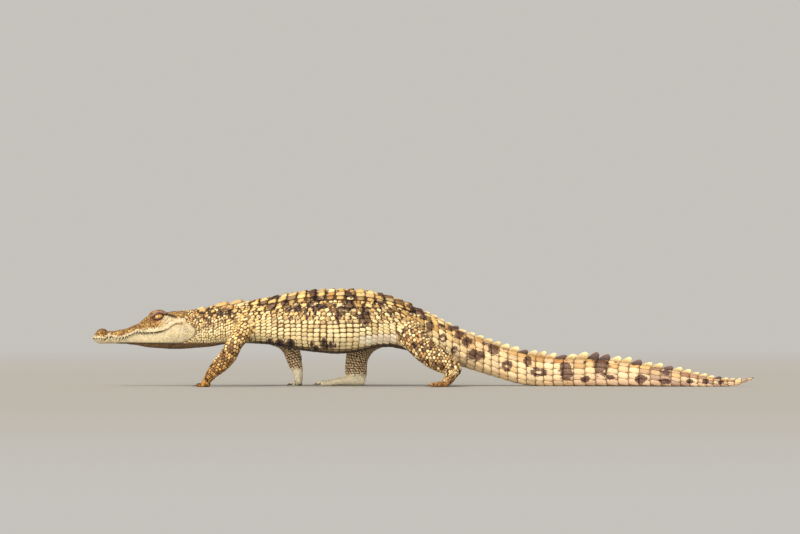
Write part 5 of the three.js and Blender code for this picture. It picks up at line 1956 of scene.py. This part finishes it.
# %% Look of the eye
SLIT_HALF, SLIT_SOFT = 0.0003, 0.0006  # metres from the middle of the iris
IRIS_EDGE, IRIS_DARK = 0.0098, 0.0112
SLIT_COLOUR, EDGE_COLOUR = (0.004, 0.003, 0.003, 1), (0.035, 0.012, 0.01, 1)


def two_colours(tree, source, dark, light, low, high):
    made = add_node(tree, "ValToRGB", {"Fac": source})
    for element, colour, position in zip(made.color_ramp.elements, (dark, light), (low, high)):
        element.color = (*colour, 1)
        element.position = position
    return made.outputs["Color"]


def eye_material(word, middle):
    """A streaked golden iris with a slit and a dark edge, under a clear wet coat."""
    material, tree = new_material("eye_" + word)
    to_middle = {"Location": [-float(v) for v in middle], "Vector": coordinates(tree)}
    place = add_node(tree, "Mapping", to_middle).outputs["Vector"]
    x = add_node(tree, "SeparateXYZ", {"Vector": place}).outputs["X"]
    slit = remap(tree, calculate(tree, "ABSOLUTE", x), SLIT_HALF, SLIT_SOFT, 1.0, 0.0)
    stretched = {0: place, 1: (1 / EYE_STRETCH, 0, 1)}
    flat = add_node(tree, "VectorMath", stretched, operation="MULTIPLY").outputs["Vector"]
    size = add_node(tree, "VectorMath", {0: flat}, operation="LENGTH").outputs["Value"]
    spoke = add_node(tree, "VectorMath", {0: flat}, operation="NORMALIZE").outputs["Vector"]
    rays = {0: flat, 1: (16, 16, 16), 2: spoke}
    bent = add_node(tree, "VectorMath", rays, operation="MULTIPLY_ADD").outputs["Vector"]
    streak = cloud(tree, bent, 13, 5, 0.6).outputs["Fac"]
    colour = two_colours(tree, streak, linear(150, 96, 34), linear(232, 186, 92), 0.34, 0.6)
    colour = tinted(tree, slit, colour, SLIT_COLOUR, "MIX")
    colour = tinted(tree, remap(tree, size, IRIS_EDGE, IRIS_DARK), colour, EDGE_COLOUR, "MIX")
    bump = bumps(tree, streak, 0.04, 0.0003)
    put(tree, tree.nodes["Principled BSDF"], {"Base Color": colour, "Normal": bump.outputs["Normal"],
                                              "Roughness": 0.08, "Coat Weight": 0.6, "Coat Roughness": 0.03})
    return material


print("iris", round(IRIS_EDGE / MM, 1), "mm from its middle to its dark edge")


# %% Eyes
def make_eye(way, word):
    middle = to_scene(EYE * [1, way, 1])
    bm = bmesh.new()
    bmesh.ops.create_uvsphere(bm, u_segments=48, v_segments=28, radius=EYE_RADIUS * MM)
    bmesh.ops.scale(bm, verts=bm.verts, vec=(EYE_STRETCH, 1, 1))
    bmesh.ops.translate(bm, verts=bm.verts, vec=Vector(middle))
    ball = finish(mesh_object("eyeball_" + word, bm), eye_material(word, middle))
    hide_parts("eye_" + word)


for way, word in ((-1, "left"), (1, "right")):
    make_eye(way, word)


# %% Gathering small forms
def gather(name, parts, material):
    bm = bmesh.new()
    for part in parts:
        bm.from_mesh(part.data)
        remove_piece(part)
    return finish(mesh_object(name, bm), material)


def plain_finish(name, light, dark, roughness, scale):
    material, tree = new_material(name)
    clouds = cloud(tree, coordinates(tree), scale, 4).outputs["Fac"]
    put(tree, tree.nodes["Principled BSDF"], {
        "Base Color": two_colours(tree, clouds, dark, light, 0.34, 0.66),
        "Roughness": remap(tree, clouds, 0.3, 0.7, roughness - 0.08, roughness + 0.08),
        "Normal": bumps(tree, clouds, 0.3, 0.0002).outputs["Normal"]})
    return material


def rope_rings(line, radii, leaning, columns):
    """Rings round a line. Leaning is a direction that the line never takes."""
    run = unit(np.gradient(line, axis=0))
    side = unit(np.cross(run, leaning))
    other = np.cross(run, side)
    turn = np.linspace(0, 2 * math.pi, columns, endpoint=False)[None, :, None]
    circle = np.cos(turn) * side[:, None] + np.sin(turn) * other[:, None]
    return line[:, None] + radii[:, None, None] * circle


LID_FINISH = plain_finish("lid_rim", linear(112, 66, 54), linear(58, 30, 24), 0.4, 500)
FOLD_FINISH = plain_finish("lid_fold", linear(186, 140, 128), linear(132, 92, 86), 0.5, 420)
EAR_FINISH = plain_finish("ear_flap", linear(84, 50, 38), linear(42, 24, 18), 0.5, 420)
print("soft finishes for lids and ears")

# %% Rims of the lids
RIM_SHIFT, RIM_THICKNESS, RIM_REACH = 0.45, 0.66, 12.35
LID_TUCKS = [((-13.8, -1.9), (-7.4, -0.4)), ((15.0, 5.0), (7.0, 5.2))]


def lid_rings(way, line, radius, climb, shift):
    """A rim along one edge of the almond, lying on the eyeball and climbing out of it towards the corners."""
    arch = np.sin(np.linspace(0, math.pi, len(line)))
    reach = RIM_REACH + climb * (1 - arch)
    depth = np.sqrt(np.maximum(reach ** 2 - ((line / [EYE_STRETCH, 1]) ** 2).sum(1), 4))
    points = np.stack([EYE[0] + line[:, 0], way * (EYE[1] + depth), EYE[2] + line[:, 1]], 1)
    run = unit(np.gradient(points, axis=0))
    out = points - EYE * [1, way, 1]
    out = unit(out - run * (out * run).sum(1, keepdims=True))
    flat = np.cross(run, out)
    flat *= np.sign((flat * (points - points.mean(0))).sum(1, keepdims=True).sum())
    taper = (0.5 + 0.5 * arch ** 0.5)[:, None]
    points = points + shift * radius * taper * flat
    turn = np.linspace(0, 2 * math.pi, 14, endpoint=False)[None, :, None]
    wide = radius * taper[:, None] * flat[:, None]
    thick = RIM_THICKNESS * radius * taper[:, None] * out[:, None]
    return points[:, None] + np.cos(turn) * wide + np.sin(turn) * thick


rims = []
for way in (-1, 1):
    for bend, radius, climb in ((LID_LOW, 1.8, 0.9), (LID_HIGH, 2.0, 1.8)):
        rims.append(tube("rim", lid_rings(way, lid_curve(bend, 30), radius, climb, RIM_SHIFT)))
for way in (-1, 1):
    for first, last in LID_TUCKS:
        rims.append(tube("tuck", lid_rings(way, np.linspace(first, last, 12), 1.5, 0.5, 0)))
gather("lid_rims", rims, LID_FINISH)


# %% Folds of the lids and flaps of the ears
FOLD_HIGH, FOLD_LOW = (-2.5, 19.5), (0.5, -16.5)


def on_face(x, z, way):
    """The skin's own point, in millimetres, that is seen from the side at this station and height."""
    start = Vector(to_scene((x, way * 100.0, z)))
    return to_mm(SKIN_TREE.ray_cast(start, Vector((0, -way, 0)))[0])


def cords(curve, radius, ends=0.3):
    """Two round ropes that follow a curve on the left and the right face, thick in their middle."""
    made = []
    for way in (-1, 1):
        line = np.array([on_face(x, z, way) for x, z in curve])
        swell = np.sin(math.pi * np.linspace(0, 1, len(line))) ** 0.6
        made.append(tube("cord", rope_rings(line, radius * (ends + (1 - ends) * swell), [0, 1, 0], 10)))
    return made


def fold_curve(bend):
    return lid_curve(bend, 26)[2:-2] + [EYE[0], EYE[2]]


share = np.linspace(0, 1, 16)[:, None]
ear_curve = EAR_LINE[0] + [-1, 0.4] + (EAR_LINE[1] - EAR_LINE[0]) * share
ear_curve[:, 1] += 0.9 * np.sin(math.pi * share[:, 0])
gather("upper_lids", cords(fold_curve(FOLD_HIGH), 1.6), FOLD_FINISH)
gather("ear_flaps", cords(fold_curve(FOLD_LOW), 0.8) + cords(ear_curve, 1.7), EAR_FINISH)

# %% [markdown]
# Teeth stand outside the lips. The upper ones hang over the lower jaw and are longest at two bulges of the
# snout, and the fourth tooth of the lower jaw rises in a notch behind the nose.

# %% Teeth
TOOTH_STATIONS = [7, 12.5, 18, 23.5, 50.5, 57.5, 64.5, 72, 80, 88, 96, 104, 112, 120.5, 129, 137.5]
LOWER_TEETH = [9.8, 15, 46.5, 54, 61, 68, 76, 84, 92, 100, 108]
LEAN = [0.21, 0.97, 0.1]


def cone(name, root, tip, radius, bow, rows=7, columns=9):
    """A curved cone from root to tip, bent out of line by the bow."""
    t = np.linspace(0, 1, rows)
    root, tip, bow = (np.array(v, float) for v in (root, tip, bow))
    middle = root + np.outer(t, tip - root) + np.outer(np.sin(math.pi * t), bow)
    return tube(name, rope_rings(middle, radius * (1 - t ** 1.5 * 0.88), LEAN, columns))


def upper_tooth(x, way):
    length = 3 + 2.4 * math.exp(-((x - 18) / 8) ** 2) + 3 * math.exp(-((x - 58) / 14) ** 2)
    y, mouth = way * (along(UPPER_HALF, x) - 1.9), float(along(GAPE, x))
    root, tip = (x, y, mouth + 2.6), (x + 0.4, y + way * 0.5, mouth - length)
    return cone("tooth", root, tip, 1.5 if x > 100 else 1.8, (-0.3, way * 0.3, 0))


def lower_tooth(x, way):
    y, mouth = way * (along(LOWER_HALF, x) - 0.9), float(along(GAPE, x))
    return cone("tooth", (x, y, mouth - 4), (x + 0.3, y + way * 0.7, mouth + 2.2), 1.15, (0, way * 0.3, 0))


def notch_tooth(way):
    return cone("tooth", (36.5, way * 17.4, 109), (36.7, way * 17.9, 119), 1.8, (0.5, 0, 0))


TOOTH_FINISH = plain_finish("tooth", linear(244, 236, 214), linear(206, 184, 140), 0.3, 600)
teeth = [upper_tooth(x, way) for x in TOOTH_STATIONS for way in (-1, 1)]
teeth += [lower_tooth(x, way) for x in LOWER_TEETH for way in (-1, 1)]
teeth += [notch_tooth(way) for way in (-1, 1)]
gather("teeth", teeth, TOOTH_FINISH)


# %% Claws
def claw(leg, way, toe):
    root, ahead, length = toe_line(leg, way, toe)
    base = root + ahead * (length - 4.5) + [0, 0, 3.6]
    tip = root + ahead * (length + 9.3) + [0, 0, 0.9]
    return cone("claw", base, tip, 2.2, (0, 0, 1.5), rows=9, columns=10)


CLAW_FINISH = plain_finish("claw_horn", linear(120, 96, 72), linear(52, 38, 28), 0.35, 700)
claws = [claw(leg, way_of(name), toe) for name, leg in LEGS.items() for toe in leg["toes"][:CLAWED_TOES]]
gather("claws", claws, CLAW_FINISH)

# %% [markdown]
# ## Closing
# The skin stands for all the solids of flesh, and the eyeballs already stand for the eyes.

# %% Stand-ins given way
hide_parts(*[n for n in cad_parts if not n.startswith("eye")])
